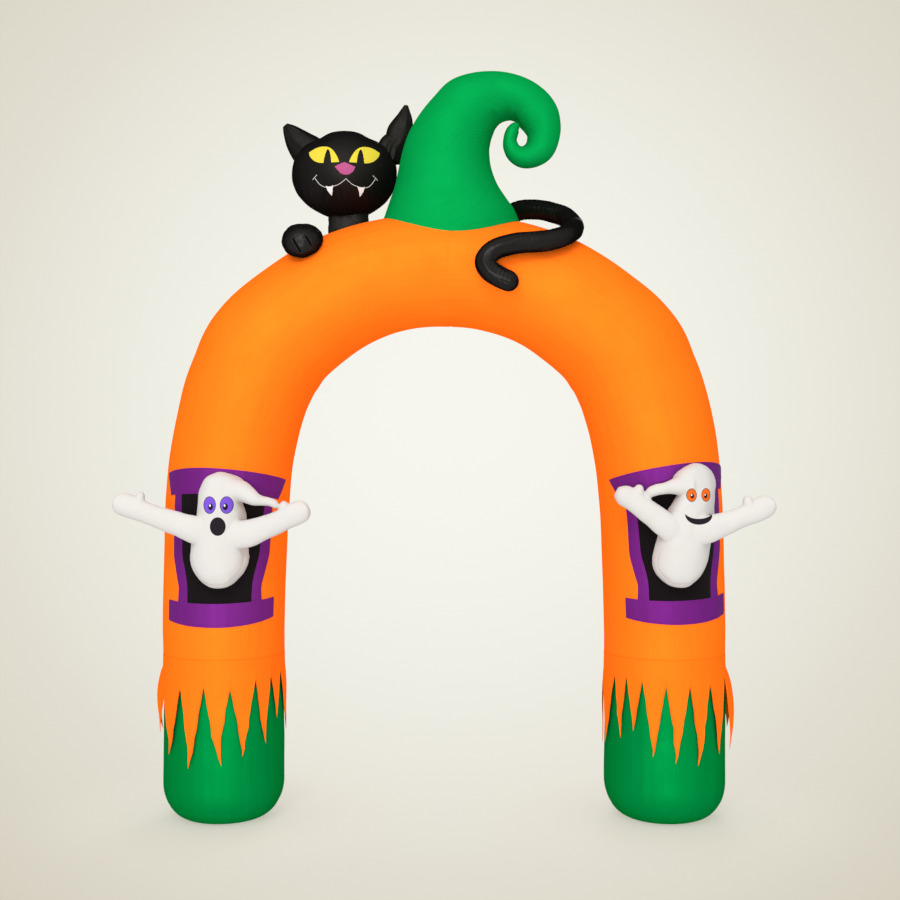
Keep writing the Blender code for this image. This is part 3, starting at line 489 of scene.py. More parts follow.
class Tree:
    """Short calls for building the nodes of a material or a world."""

    def __init__(self, owner):
        owner.use_nodes = True
        self.owner, self.nodes, self.links = owner, owner.node_tree.nodes, owner.node_tree.links

    def fill(self, node, inputs):
        """Gives sockets of the node a value, or links them to another socket."""
        for key, value in inputs.items():
            if isinstance(value, bpy.types.NodeSocket):
                self.links.new(value, node.inputs[key])
            else:
                node.inputs[key].default_value = value

    def shade(self, inputs):
        self.fill(self.nodes["Principled BSDF"], inputs)

    def node(self, kind, inputs=None, **settings):
        made = self.nodes.new("ShaderNode" + kind)
        for key, value in settings.items():
            setattr(made, key, value)
        self.fill(made, inputs or {})
        return made

    def math(self, operation, a, b=0, clamp=False):
        return self.node("Math", {0: a, 1: b}, operation=operation, use_clamp=clamp).outputs[0]

    def noise(self, vector, scale, detail=2, rough=0.5):
        inputs = {"Vector": vector, "Scale": scale, "Detail": detail, "Roughness": rough}
        return self.node("TexNoise", inputs).outputs["Fac"]

    def streaks(self, flat, across, along):
        """Noise drawn out along the cloth."""
        stretched = self.node("Mapping", {"Vector": flat, "Scale": (across, along, along)}).outputs[0]
        return self.noise(stretched, 1, 3)

    def mix(self, share, a, b, blend="MIX"):
        return self.node("Mix", {0: share, 6: a, 7: b}, data_type="RGBA", blend_type=blend).outputs[2]

    def range(self, value, low, high, to_low=0, to_high=1, kind="LINEAR"):
        keys = {"Value": value, "From Min": low, "From Max": high, "To Min": to_low, "To Max": to_high}
        return self.node("MapRange", keys, interpolation_type=kind).outputs["Result"]


def cloth(name, colour, shade, roughness=0.66, satin=0.45, gloss=0, crinkle=1, yarn=0.00003,
          striped=True, hem=False, prints=None):
    """Thin woven polyester. shade is the colour in its duller patches.

    satin is the share of coloured gloss, gloss the strength of the white one, yarn the height of the weave.
    Striped cloth has its own coordinates and fine streaks along it, and a hem has a row of stitches.
    prints(tree, place, colour) may paint over the cloth and returns the colour.
    """
    tree = Tree(bpy.data.materials.new(name))
    place = tree.node("TexCoord").outputs["Object"]
    tint = tree.mix(tree.range(tree.noise(place, 3, 3), 0.35, 0.65), (*shade, 1), (*colour, 1))
    height = tree.math("MULTIPLY", tree.noise(place, 14, 4, 0.55), 0.0016 * crinkle)
    flat, upright = place, "Z"
    if striped:
        flat, upright = tree.node("UVMap", uv_map="cloth").outputs["UV"], "Y"
        streak = tree.range(tree.streaks(flat, 160, 4), 0.3, 0.7, 0.965, 1.03)
        grey = tree.node("CombineColor", {0: streak, 1: streak, 2: streak}).outputs[0]
        tint = tree.mix(1, tint, grey, "MULTIPLY")
        height = tree.math("ADD", height, tree.math("MULTIPLY", tree.streaks(flat, 70, 2.2), 0.0007))
    if prints:
        tint = prints(tree, place, tint)
    uneven = tree.range(tree.noise(place, 9, 4), 0.3, 0.7, roughness - 0.05, roughness + 0.06)
    tree.shade({"Base Color": tint, "Roughness": uneven, "Metallic": satin, "Specular IOR Level": gloss,
                "Specular Tint": (*(0.35 * v for v in colour), 1)})
    waves = {"Vector": flat, "Scale": math.pi / 10 / WEAVE_PITCH}
    warp, weft = (tree.node("TexWave", waves, bands_direction=way).outputs["Fac"] for way in ("X", upright))
    height = tree.math("ADD", height, tree.math("MULTIPLY", tree.math("SUBTRACT", warp, weft), yarn))
    if hem:
        rim = tree.node("Attribute", attribute_name="rim").outputs["Fac"]
        off = tree.math("ABSOLUTE", tree.math("SUBTRACT", rim, HEM_STITCH))
        dent = tree.math("MULTIPLY", tree.range(off, 0, HEM_WIDTH, 1, 0, "SMOOTHSTEP"), -HEM_DEPTH)
        height = tree.math("ADD", height, dent)
    bump = tree.node("Bump", {"Height": height, "Distance": 1, "Strength": 1})
    tree.shade({"Normal": bump.outputs[0]})
    return tree.owner


# --- The arch's tube ---
def arch_line():
    """The tube's middle line from the right foot's seam over the crown to the left one."""
    mirrored = [(-x, z, r) for x, z, r in reversed(ARCH_SECTIONS[:-1])]
    rows, along = even_rows(smooth_rows(ARCH_SECTIONS + mirrored, 24), ARCH_RINGS, [0, 1])
    centre = xyz(rows[:, 0], 0, rows[:, 1])
    run = tangents(centre)
    run[0], run[-1] = (0, 0, 1), (0, 0, -1)
    outward = xyz(run[:, 2], 0, -run[:, 0])
    return centre, outward, rows[:, 2], along


CENTRE, OUTWARD, RADIUS, ALONG = arch_line()
LENGTH = ALONG[-1]
LEG = slice(0, ARCH_RINGS // 2)  # the rings of the right leg, from the bottom up
X_WAY, BACK, UP = np.eye(3)


def unevenness(points, turn, along):
    """How far the blown-up cloth stands off a true tube, at points on it."""
    seam_end = np.minimum(along, LENGTH - along)
    ring = round_places(turn, along, 7, 1.3)
    lie = 0.004 * grain(points, 2.6, 3.1) + 0.0016 * grain(points, 8, 7.7)
    lie = lie + 0.0012 * grain(ring, 1, 11)
    lie = lie * ramp(seam_end, 0, 0.08) - 0.0006 * bump_at(seam_end, 0, 0.0025)
    beside = np.abs(points[..., 0] - CROWN_SEAM_X)
    crown = np.where(points[..., 2] > CROWN_HEIGHT, 1, 0)
    pucker = np.sin(turn * 58 + 3 * grain(ring, 2, 5)) * np.exp(-beside / 0.035)
    return lie - 0.0018 * crown * bump_at(beside, 0, 0.005) + 0.0008 * crown * pucker - 0.0006


def tube_points(at, turn, lift=0):
    """Points on the tube's cloth at distances along it and turns round it."""
    away = unit(sampled(at, ALONG, OUTWARD)) * np.sin(turn)[..., None] - BACK * np.cos(turn)[..., None]
    plain = sampled(at, ALONG, CENTRE) + away * np.interp(at, ALONG, RADIUS)[..., None]
    return plain + away * (unevenness(plain, turn, at) + lift)[..., None]


def on_leg(side, bearing, height, lift=0):
    """Points on a leg at bearings and heights."""
    at = np.interp(height, CENTRE[LEG, 2], ALONG[LEG])
    return tube_points(at if side > 0 else LENGTH - at, np.radians(bearing) * side, lift)


def off_tube(points):
    """Each point's distance from the tube's skin, negative inside it, and the way out of it."""
    flat = points.reshape(-1, 3)
    best = np.full(len(flat), 1e9)
    pick = np.zeros(len(flat), int)
    for k in range(0, ARCH_RINGS, 3):
        gap = np.linalg.norm(flat - CENTRE[k], axis=1)
        closer = gap < best
        best[closer], pick[closer] = gap[closer], k
    away = flat - CENTRE[pick]
    run = xyz(-OUTWARD[pick, 2], 0, OUTWARD[pick, 0])
    away -= run * (away * run).sum(1, keepdims=True)
    far = np.linalg.norm(away, axis=1)
    return (far - RADIUS[pick]).reshape(points.shape[:-1]), unit(away).reshape(points.shape)


def press_on_tube(points, clear=0.0012):
    """Moves points that would be inside the tube out to its skin."""
    depth, out = off_tube(points)
    return points + out * np.maximum(0, clear - depth)[..., None]


def rooted(grid, rows, clear=0.0006):
    """The part of a grid that is out of the tube, each column starting where it leaves the tube."""
    depth, _ = off_tube(grid)
    count = len(grid)
    columns, share = [], np.linspace(0, 1, rows)
    for column, deep in zip(grid.transpose(1, 0, 2), depth.T):
        inside = np.nonzero(deep < clear)[0]
        start = 0
        if len(inside) and inside[-1] + 1 < count:
            i = inside[-1]
            start = i + (clear - deep[i]) / max(1e-9, deep[i + 1] - deep[i])
        columns.append(sampled(start + (count - 1 - start) * share, np.arange(count), column))
    return np.stack(columns, axis=1)


def arch():
    points = tube_points(*np.broadcast_arrays(ALONG[:, None], turns(ARCH_SIDES)))
    mesh = skin(points, cloth_uv(ALONG, RADIUS, ARCH_SIDES))
    pad("arch_tube", mesh, ORANGE, "arch_cloth")


# --- Feet and skirts ---
def round_foot(side, turn, reach, height):
    """Points round a foot's axis."""
    return xyz(side * FOOT_X + reach * np.sin(turn), -reach * np.cos(turn), height)


def foot_lie(side, turn, height):
    """How far a foot's cloth stands off its plain shape."""
    points = round_foot(side, turn, FOOT_RADIUS, height)
    ring = round_places(turn, height, 9, 1.2)
    lie = 0.003 * grain(points, 3, 21 + side) + 0.0012 * grain(points, 9, 5)
    lie = lie + 0.0014 * grain(ring, 1, 31 + side) - 0.0045 * ramp(height, 0.44, 0.1)
    gather = np.sin(turn * 46 + 4 * grain(ring, 1.5, 2)) * np.exp(-np.abs(height - TOE_SEAM) / 0.022)
    lie = lie - 0.0012 * bump_at(height, TOE_SEAM, 0.004) + 0.0009 * gather - 0.0014
    return lie * ramp(height, 0.004, 0.05)


def foot(hand, side):
    wall = [(FOOT_RADIUS, z) for z in np.linspace(SEAM_HEIGHT - SEAM_CLEAR, FOOT_CORNER_HEIGHT, 48)]
    across, up = (FOOT_FLAT_RADIUS, FOOT_RADIUS), (FOOT_CORNER_HEIGHT, 0)
    corner = [(between(across, math.cos(t)), between(up, math.sin(t)))
              for t in np.linspace(0, math.pi / 2, 30)[1:]]
    profile, along = even_rows(np.array(wall + corner), 84, [0, 1])
    turn, radius = np.meshgrid(turns(FOOT_SIDES), profile[:, 0])
    height = np.repeat(profile[:, 1:], FOOT_SIDES, axis=1)
    points = round_foot(side, turn, radius + foot_lie(side, turn, height), height)
    mesh = skin(points, cloth_uv(along, FOOT_RADIUS, FOOT_SIDES))
    pad(f"foot_{hand}", mesh, GREEN)


def skirt_edge(start, teeth, per_tooth=22):
    """Bearing, depth, hook and the tooth's full depth, round a skirt's jagged edge."""
    rows = []
    q = np.arange(per_tooth) / per_tooth
    widths, teeth = [row[0] for row in teeth], mm(row[1:] for row in teeth)
    for width, (tip, cut, hook), (_, next_cut, _) in zip(widths, teeth, teeth[1:] + teeth[:1]):
        side_cut = np.where(q < 0.5, cut, next_cut)
        depth = side_cut + (tip - side_cut) * (1 - np.abs(2 * q - 1)) ** 1.08
        rows.append([start + width * q, depth, np.full(per_tooth, hook), np.full(per_tooth, tip)])
        start += width
    return np.concatenate(rows, axis=1)


def skirt(hand, side, rows=30):
    """The jagged band round a foot, with free teeth that curl a little."""
    start, seed = TEETH_START[hand], SKIRT_SEED[hand]
    bearing, depth, hook, tip = skirt_edge(start, TEETH[hand])
    drop = depth * np.linspace(0, 1, rows)[:, None]
    turn = np.radians(bearing)
    late = ramp(drop / tip, 0.72, 0.28)
    loose = ramp(drop, 0.07, 0.2)
    sway = grain(round_places(turn, drop, 2.2, 14), 1.6, seed)
    turn = turn + (hook * late**1.5 + 0.006 * loose * sway) / FOOT_RADIUS
    flap, spread, flap_reach, flap_length = FREE_FLAP[hand]
    off_flap = (bearing - flap + 180) % 360 - 180
    blown = np.sin(math.pi * ramp(drop, FLAP_TOP, flap_length)) ** 0.8 * bump_at(off_flap, 0, spread)
    under = np.maximum(foot_lie(side, turn, SEAM_HEIGHT - drop), -0.0006) * ramp(drop, 0.02, 0.04)
    ripple = grain(round_places(turn, drop, 3, 6), 1.3, seed + 9)
    curl = EDGE_CURL * np.exp((drop - depth) * 0.22 / 0.005) * ramp(drop, 0, 0.06)
    reach = (FOOT_RADIUS + SKIRT_SEAT + under + SKIRT_LIE * ramp(drop, 0.02, 0.1) + flap_reach * blown
             + loose * (0.0022 + 0.0042 * ripple) + curl)
    points = round_foot(side, turn, reach, SEAM_HEIGHT - SKIRT_START - drop)
    girths = np.radians([*bearing, start + 360]) * FOOT_RADIUS
    uv = xyz(girths, -np.column_stack([drop, drop[:, :1]]))
    mesh = skin(points, uv, caps=False, rim=(depth - drop) * 0.3)
    piece = dress(f"skirt_{hand}", mesh, ORANGE_PANEL, thick=CLOTH)


# --- Windows ---
def panel(node, name, window, edges, counts, slot, material, seam=False):
    """A sewn-on panel. edges(s, t) gives bearings from the window's middle, and heights."""
    side, middle, rise, tilt = window
    s, t = np.meshgrid(*(np.linspace(0, 1, count + 1) for count in counts))
    bearing, height = edges(s, t)
    height = height + tilt * bearing / HEADER_HALF[0]
    x = np.radians(bearing) * LEG_RADIUS
    ends = np.minimum(x - x[:, :1], x[:, -1:] - x)
    rim = np.minimum(ends, np.minimum(height - height[:1], height[-1:] - height))
    lift = PANEL_SEAT + PANEL_PUFF * (1 - np.exp(-rim / 0.004))
    if seam:
        lift = lift - 0.001 * bump_at(x, 0, 0.0022)
    points = on_leg(side, middle + bearing, height + rise, lift)
    pucker = grain(xyz(x, height, 0), 60, 4) * np.exp(-rim / 0.012)
    away = unit((points - X_WAY * side * LEG_X) * (1, 1, 0))
    mesh = skin(points + away * (0.0006 * pucker)[..., None], xyz(x, height), wrap=False, rim=rim)
    piece = dress(node, mesh, material, name, CLOTH)


def band_edges(middle, halves, heights, rises, s, t):
    """A band with bent edges, for a header or a sill."""
    across = 2 * s - 1
    return middle + between(halves, t) * across, between(heights, t) + between(rises, t) * across**2


def strip_edges(kind, s, t):
    """The pane or a curtain, between the sill's bent upper edge and the header's lower one."""
    rows = smooth_rows(CURTAIN_SECTIONS, 10)
    height, inner, outer = np.moveaxis(sampled(t, np.linspace(0, 1, len(rows)), rows), -1, 0)
    seam = inner + math.degrees(SEAM_GAP / FOOT_RADIUS)
    bearing = between({"pane": (-inner, inner), "left": (-outer, -seam), "right": (seam, outer)}[kind], s)
    low = SILL_HEIGHT[1] + SILL_RISE[1] * (bearing / SILL_HALF[1]) ** 2
    high = HEADER_HEIGHT[0] + HEADER_RISE[0] * (bearing / HEADER_HALF[0]) ** 2
    share = (height - SILL_HEIGHT[1]) / (HEADER_HEIGHT[0] - SILL_HEIGHT[1])
    return bearing, between((low, high), share)


def window(hand, side):
    at, purple = (side, *WINDOW[hand]), ("purple_cloth", PURPLE)
    (base, top), (turned, half) = HEADER_HEIGHT, SILL_SPAN[hand]
    header = partial(band_edges, 0, HEADER_HALF, (base + SEAM_GAP, top), HEADER_RISE)
    panel(f"window_header_{hand}", f"header_{hand}", at, header, (110, 26), *purple)
    base, top = SILL_HEIGHT
    sill = partial(band_edges, turned, (half, half), (base, top - SEAM_GAP), SILL_RISE)
    panel(f"window_sill_{hand}", f"sill_{hand}", at, sill, (110, 24), *purple, True)
    pane = partial(strip_edges, "pane")
    panel(f"window_pane_{hand}", f"pane_{hand}", at, pane, (80, 90), "black_cloth", PANE, True)
    for name, _ in SIDES:
        node = f"curtain_{name}_{hand}"
        panel(node, f"{node}_cloth", at, partial(strip_edges, name), (14, 90), *purple)


# --- Ghosts ---
def joined(grids):
    """One smooth skin over closed shapes that run into each other."""
    bm = bmesh.new()
    for grid in grids:
        part = skin(grid)
        bm.from_mesh(part)
        bpy.data.meshes.remove(part)
    mesh = bpy.data.meshes.new("ghost_parts")
    bm.to_mesh(mesh)
    bm.free()
    obj = added("melting", mesh)
    remesh = obj.modifiers.new("remesh", "REMESH")
    remesh.mode, remesh.voxel_size = "VOXEL", GHOST_VOXEL
    relax = obj.modifiers.new("relax", "SMOOTH")
    relax.factor, relax.iterations = 0.5, GHOST_ROUNDS
    bpy.context.view_layer.update()
    melted = bpy.data.meshes.new_from_object(obj.evaluated_get(bpy.context.evaluated_depsgraph_get()))
    bpy.data.objects.remove(obj)
    return melted


def triples(collection, key):
    """A mesh's points or normals as an array."""
    found = np.empty(len(collection) * 3, np.float32)
    collection.foreach_get(key, found)
    return found.reshape(-1, 3).astype(float)


def ghost_body(side, sections):
    """A pad that follows the leg behind it and swells in front."""
    rows, _ = even_rows(smooth_rows(sections, 12), 150, [0, 1, 2])
    height, x, half, depth = (column[:, None] for column in rows.T)
    axis = side * np.interp(height, CENTRE[LEG, 2], CENTRE[LEG, 0])
    radius = np.interp(height, CENTRE[LEG, 2], RADIUS[LEG])
    across = -np.cos(np.linspace(0, math.pi, 61))
    px = x + half * across
    back = -np.sqrt((radius + GHOST_SEAT) ** 2 - (px - axis) ** 2)
    front = back - GHOST_EDGE - (depth - GHOST_EDGE) * np.maximum(0, 1 - np.abs(across) ** 3.4) ** 0.5
    return np.concatenate([xyz(px, back, height), xyz(px, front, height)[:, ::-1]], axis=1)


def padded_tube(rows, half_depth=None):
    """A padded tube along rows of x, y, height and half width. A round one has no half_depth."""
    line, _ = even_rows(smooth_rows(rows, 10), 70, [0, 1, 2])
    half = line[:, 3:]
    deep = half if half_depth is None else np.minimum(half_depth, half)
    up = unit(np.cross(tangents(line[:, :3]), BACK))
    return swept(line[:, :3], BACK, up, deep, half, turns(40))


def thumb(arm, root):
    x, height, lean = root
    y = arm[len(arm) // 2][1]
    low = height + THUMB_START
    return padded_tube([(x + lean * share, y, low + THUMB_LENGTH * share, THUMB_RADIUS * size)
                        for share, size in THUMB_SHAPE])


def way_to_line(points, line):
    """Distance from each point to a closed line, both seen from the front."""
    found = np.full(len(points), 1e9)
    for a, b in zip(line, np.roll(line, -1, axis=0)):
        run = b - a
        share = np.clip(((points - a) @ run) / max(1e-12, run @ run), 0, 1)
        found = np.minimum(found, np.linalg.norm(points - a - share[:, None] * run, axis=1))
    return found


def ghost(hand, side):
    body = ghost_body(side, GHOST_BODY[hand])
    grids = [body, padded_tube(HOOD_TIP[hand])]
    for arm, root in zip(GHOST_ARMS[hand], THUMB_ROOTS[hand]):
        grids += [padded_tube(arm, ARM_DEPTH), thumb(arm, root)]
    mesh = joined(grids)
    points, normals = triples(mesh.vertices, "co"), triples(mesh.vertex_normals, "vector")
    lie = 0.0014 + 0.0028 * grain(points, 9, 1 + side) + 0.0016 * grain(points, 26, 2)
    left, right = body[2:-2:3, 0, ::2], body[2:-2:3, body.shape[1] // 2 - 1, ::2]
    rim = way_to_line(points[:, ::2], np.vstack([left, right[::-1]]))
    low = np.clip((1 - points[:, 2]) / 0.02, 0, 1) * np.clip(-normals[:, 1] * 3, 0, 1)
    lie = lie - 0.0016 * low * bump_at(rim, 0.011, 0.0035)
    lie = lie + 0.0012 * low * np.exp(-rim / 0.01) * grain(points, 70, 4)
    mesh.vertices.foreach_set("co", (points + normals * lie[:, None]).astype(np.float32).ravel())
    pad(f"ghost_{hand}", mesh, GHOST[hand])


INK = (*linear(32, 28, 33), 1)
GLINT = (0.85, 0.85, 0.85, 1)
EYE_RING, PUPIL, GLINT_SIZE, PRINT_BLUR = 0.0022, 0.42, 0.13, 0.0006


def disc(tree, place, centre, half):
    """1 inside an upright ellipse seen from the front, else 0."""
    x, _, z = tree.node("SeparateXYZ", {0: place}).outputs
    squares = []
    for value, middle, size in zip((x, z), centre, half):
        share = tree.math("DIVIDE", tree.math("SUBTRACT", value, middle), size)
        squares.append(tree.math("MULTIPLY", share, share))
    blur = PRINT_BLUR / min(half)
    return tree.range(tree.math("SQRT", tree.math("ADD", *squares)), 1 - blur, 1 + blur, 1, 0)


def ghost_face(eyes, z, size, glance, iris, mouth, bite=None):
    """Paints a plain friendly face. The mouth is an ellipse, and another may be bitten out of it."""

    def paint(tree, place, tint):
        wide, tall = size
        for x, sign in zip(eyes, (1, -1)):
            look, drop = x + sign * glance[0], z + glance[1]
            for centre, half, ink in (
                ((x, z), (wide + EYE_RING, tall + EYE_RING), INK),
                ((x, z), size, (*iris, 1)),
                ((look, drop), (wide * PUPIL, tall * PUPIL), INK),
                ((look - wide * 0.12, drop + tall * 0.16), (wide * GLINT_SIZE, tall * GLINT_SIZE), GLINT),
            ):
                tint = tree.mix(disc(tree, place, centre, half), tint, ink)
        mask = disc(tree, place, *mouth)
        if bite:
            mask = tree.math("SUBTRACT", mask, disc(tree, place, *bite), clamp=True)
        return tree.mix(mask, tint, INK)

    return paint


# --- Hat ---
HAT_SIDES, HAT_ROWS, HAT_HEM = 132, 430, 0.016
HAT_FOLD, CHIN_FOLD, NECK_FOLD, TAIL_FOLD = 0.016, 0.026, 0.031, 0.019  # from one pucker to the next


def hat():
    """A cone whose rings stand on its outer edge and its inner edge, down to the middle of the curl."""
    line = smooth_rows(HAT_SECTIONS, 20)
    line = np.column_stack([line, (line[:, :2] + line[:, 2:4]) / 2])
    line, along = even_rows(line, 620, [6, 7])
    outer, inner = line[:, :2], line[:, 2:4]
    half = np.linalg.norm(inner - outer, axis=1)[:, None] / 2
    way = (inner - outer) / (2 * half)
    across = xyz(way[:, 0], 0, way[:, 1])
    turn = turns(HAT_SIDES)
    tight = np.clip(np.linalg.norm(np.gradient(across, along, axis=0), axis=1)[:, None] * half, 0, 1.2)
    inward = np.clip(np.cos(turn), 0, 1)
    ring = round_places(turn, along[:, None], 1.6, 7)
    fold = np.sin(along[:, None] * TAU / HAT_FOLD + 8 * grain(ring, 1, 40))
    lie = 0.0016 * tight * inward**0.7 * fold * (0.5 + 2 * np.abs(grain(ring, 1.3, 19)))
    lie = lie + 0.002 * tight * (0.25 + inward) * grain(ring * (1, 1, 3), 1.5, 8)
    lie = (lie + 0.0028 * grain(ring, 0.6, 3) - 0.0008) * np.clip(half / 0.05, 0.1, 1)
    grid = rooted(swept(line[:, [6, 5, 7]], across, BACK, half + lie, line[:, 4:5] + lie, turn), HAT_ROWS)
    lengths = np.linspace(0, along[-1], HAT_ROWS)
    hem = bump_at(lengths, HAT_HEM, 0.005)[:, None, None]
    grid = grid - unit(grid - grid.mean(axis=1, keepdims=True)) * 0.0006 * hem
    mesh = skin(grid, cloth_uv(lengths, np.interp(lengths, along, half[:, 0]), HAT_SIDES))
    # Its green is the feet's green painted lighter, as painted light for the stronger light up here.
    pad("hat", mesh, HAT_GREEN_PAINTED_LIGHT)


# --- Cat ---
def head():
    tilt = np.linspace(0.012, math.pi - 0.012, 130)[:, None]
    turn = turns(200)
    units = xyz(np.sin(tilt) * np.sin(turn), -np.sin(tilt) * np.cos(turn), -np.cos(tilt))
    plain = units * HEAD_HALF
    plain[..., 0] *= 1 - JAW_TAPER * np.maximum(0, -units[..., 2]) ** 2
    nearness = bump_at(units[..., 0], 0, 0.55) * bump_at(units[..., 2], -0.22, 0.4)
    plain[..., 1] -= MUZZLE_BULGE * nearness * np.maximum(0, -units[..., 1])
    points = HEAD_CENTRE + plain
    lie = 0.0022 * grain(points, 9, 3) + 0.001 * grain(points, 26, 5)
    for sections in EARS.values():
        way = points - np.array(sections[1][:3])
        spread = np.exp(-np.abs(np.linalg.norm(way, axis=-1) - 0.06) / 0.03)
        spin = np.arctan2(way[..., 2], way[..., 0])
        lie = lie + 0.0014 * spread * np.sin(spin * 13 + 5 * grain(points, 12, 9))
    x, _, z = np.moveaxis(plain, -1, 0)
    facing = np.clip(-units[..., 1], 0, 1)
    chin = bump_at(z, -0.105, 0.045) * facing
    lie = lie + 0.0011 * chin * np.sin(x * TAU / CHIN_FOLD + 5 * grain(points, 14, 2))
    lie = lie - 0.0018 * bump_at(x, EYE_SWING, 0.0035) * ramp(z, 0, 0.05) * facing
    lie = lie + 0.001 * ramp(-z, 0.11, 0.05) * np.sin(turn * 23 + 4 * grain(points, 10, 6))
    for dent_x, dent_z in FOREHEAD_DENTS:
        lie = lie - 0.009 * bump_at(x, dent_x, 0.04) * bump_at(z, dent_z, 0.045)
    flat_face = 1 - 0.85 * bump_at(z, 0.02, 0.075) * facing
    mesh = skin(points + units * (lie * flat_face)[..., None])
    return pad("cat_head", mesh, HEAD_BLACK)


def ear(hand):
    line, along = even_rows(smooth_rows(EARS[hand], 14), 90, [0, 1, 2])
    seed = EAR_SEED[hand]
    across = unit(np.cross(tangents(line[:, :3]), BACK))
    turn, along = turns(64), along[:, None]
    ring = round_places(turn, along, 2, 16)
    root = np.exp(-np.maximum(0, along - 0.035) / 0.03)
    lie = 0.003 * root * np.sin(turn * 7 + 5 * grain(ring, 0.5, seed)) + 0.0022 * grain(ring, 1.4, seed)
    front = np.clip(-np.sin(turn), 0, 1)
    lie = lie - 0.005 * front**3 * np.sin(math.pi * along / along[-1])
    lie = lie * ramp(along[-1] - along, 0, 0.012, 0.1)
    mesh = skin(swept(line[:, :3], across, BACK, line[:, 3:4] + lie, line[:, 4:5] + lie, turn))
    pad(f"cat_ear_{hand}", mesh, HEAD_BLACK)


def neck():
    height = np.linspace(NECK_FOOT, NECK_TOP, 90)[:, None]
    turn = turns(96)
    spread = np.interp(height, (2.06, 2.3), (1.06, 1))
    way = round_places(turn, height, 1.6, 9)
    crease = np.sin(height * TAU / NECK_FOLD + 4.5 * grain(way, 1, 6))
    lie = 0.0007 * crease + 0.0034 * grain(way, 1.6, 7)
    centre = np.array((NECK_X, NECK_Y, 0)) + UP * height
    grid = swept(centre, X_WAY, BACK, NECK_HALF[0] * spread + lie, NECK_HALF[1] * spread + lie, turn)
    pad("cat_neck", skin(rooted(grid, 70)), BLACK)


def paw():
    line, along = even_rows(smooth_rows(PAW_SECTIONS, 16), 300, [0, 1, 2, 3])
    turn, along = turns(180), along[:, None]
    ring = round_places(turn, along, 2, 14)
    lie = 0.003 * grain(ring, 1.2, 4) + 0.001 * grain(ring, 4, 4.5)
    lie = lie * ramp(along[-1] - along, 0, 0.012, 0.1)
    grid = swept(line[:, :3], X_WAY, UP, line[:, 3:4] + lie, line[:, 4:5] + lie, turn)
    facing = ramp(-grid[..., 1], 0.12, 0.05)
    for x, z, half in TOE_CREASES:
        off = grid[..., 0] - x - TOE_LEAN * (grid[..., 2] - z)
        span = np.clip((half + 0.004 - np.abs(grid[..., 2] - z)) / 0.006, 0, 1)
        grid[..., 1] += facing * 0.007 * bump_at(off, 0, 0.0026) * span
    pad("cat_paw", skin(press_on_tube(grid)), TAIL_BLACK)


def tail():
    line, _ = even_rows(smooth_rows(TAIL_ROUTE, 16), 380, [0, 1, 2])
    shares = np.sin(np.linspace(0, math.pi / 2, 14)[1:-1])
    radius = TAIL_RADIUS * np.concatenate([np.ones(len(line)), np.sqrt(1 - shares**2)])[:, None]
    line = np.vstack([line, line[-1] + tangents(line)[-1] * (TAIL_RADIUS * shares)[:, None]])
    run, along = tangents(line), run_of(line)
    side = unit(np.cross(run[0], UP))
    firsts = []
    for ahead in run:
        side = unit(side - ahead * (side @ ahead))
        firsts.append(side)
    first = np.array(firsts)
    second = np.cross(run, first)
    turn = turns(TAIL_SIDES)
    away = swept(0 * line, first, second, 1 + 0 * radius, 1 + 0 * radius, turn)
    inward = np.einsum("ik,ijk->ij", np.gradient(run, along, axis=0), away) * TAIL_RADIUS
    ring = round_places(turn, along[:, None], 1.5, 9)
    wobble = grain(ring, 1, 14)
    fold = np.sin(along[:, None] * TAU / TAIL_FOLD + 8 * wobble)
    lie = 0.0015 * np.clip(inward, 0, 1) * fold + 0.001 * fold * np.abs(wobble)
    lie = (lie + 0.0028 * grain(ring, 1.8, 3) - 0.0006) * ramp(along[-1] - along, 0, 0.02)[:, None]
    grid = press_on_tube(line[:, None] + away * (radius + lie)[..., None])
    mesh = skin(grid, cloth_uv(along, TAIL_RADIUS, TAIL_SIDES))
    pad("cat_tail", mesh, TAIL_BLACK)


def rounded_outline(outline, corners, steps=8):
    """The outline with smooth curves between its corners."""
    ring = []
    for a, b in zip(corners, [*corners[1:], corners[0] + len(outline)]):
        rows = [outline[k % len(outline)] for k in range(a, b + 1)]
        ring.extend(smooth_rows(rows, steps)[:-1].tolist() if len(rows) > 2 else rows[:-1])
    return ring


def on_head(skin_tree, x, z, lift):
    """The point of the head's front at x and z, lifted off its skin."""
    hit, normal, _, _ = skin_tree.ray_cast(Vector((x, -1, z)), Vector((0, 1, 0)))
    return hit + normal * lift


def patch(node, outline, lift, skin_tree, material):
    """A thin patch on the cat's face: an outline seen from the front, laid on the head."""
    bm = bmesh.new()
    shape = bm.faces.new([bm.verts.new((HEAD_CENTRE[0] + a, 0, HEAD_CENTRE[2] + b)) for a, b in outline])
    shown = shape.calc_area()
    bmesh.ops.triangulate(bm, faces=[shape], ngon_method="EAR_CLIP")
    for _ in range(5):
        long_edges = [e for e in bm.edges if e.calc_length() > PATCH_EDGE]
        if not long_edges:
            break
        bmesh.ops.subdivide_edges(bm, edges=long_edges, cuts=1)
        bmesh.ops.triangulate(bm, faces=bm.faces)
    for vertex in bm.verts:
        vertex.co = on_head(skin_tree, vertex.co.x, vertex.co.z, lift)
    bmesh.ops.recalc_face_normals(bm, faces=bm.faces)
    if sum(f.normal.y for f in bm.faces) > 0:
        bmesh.ops.reverse_faces(bm, faces=bm.faces)
    laid = sum(f.calc_area() for f in bm.faces)
    mesh = bpy.data.meshes.new(node)
    bm.to_mesh(mesh)
    bm.free()
    piece = dress(node, mesh, material, thick=PATCH_CLOTH)


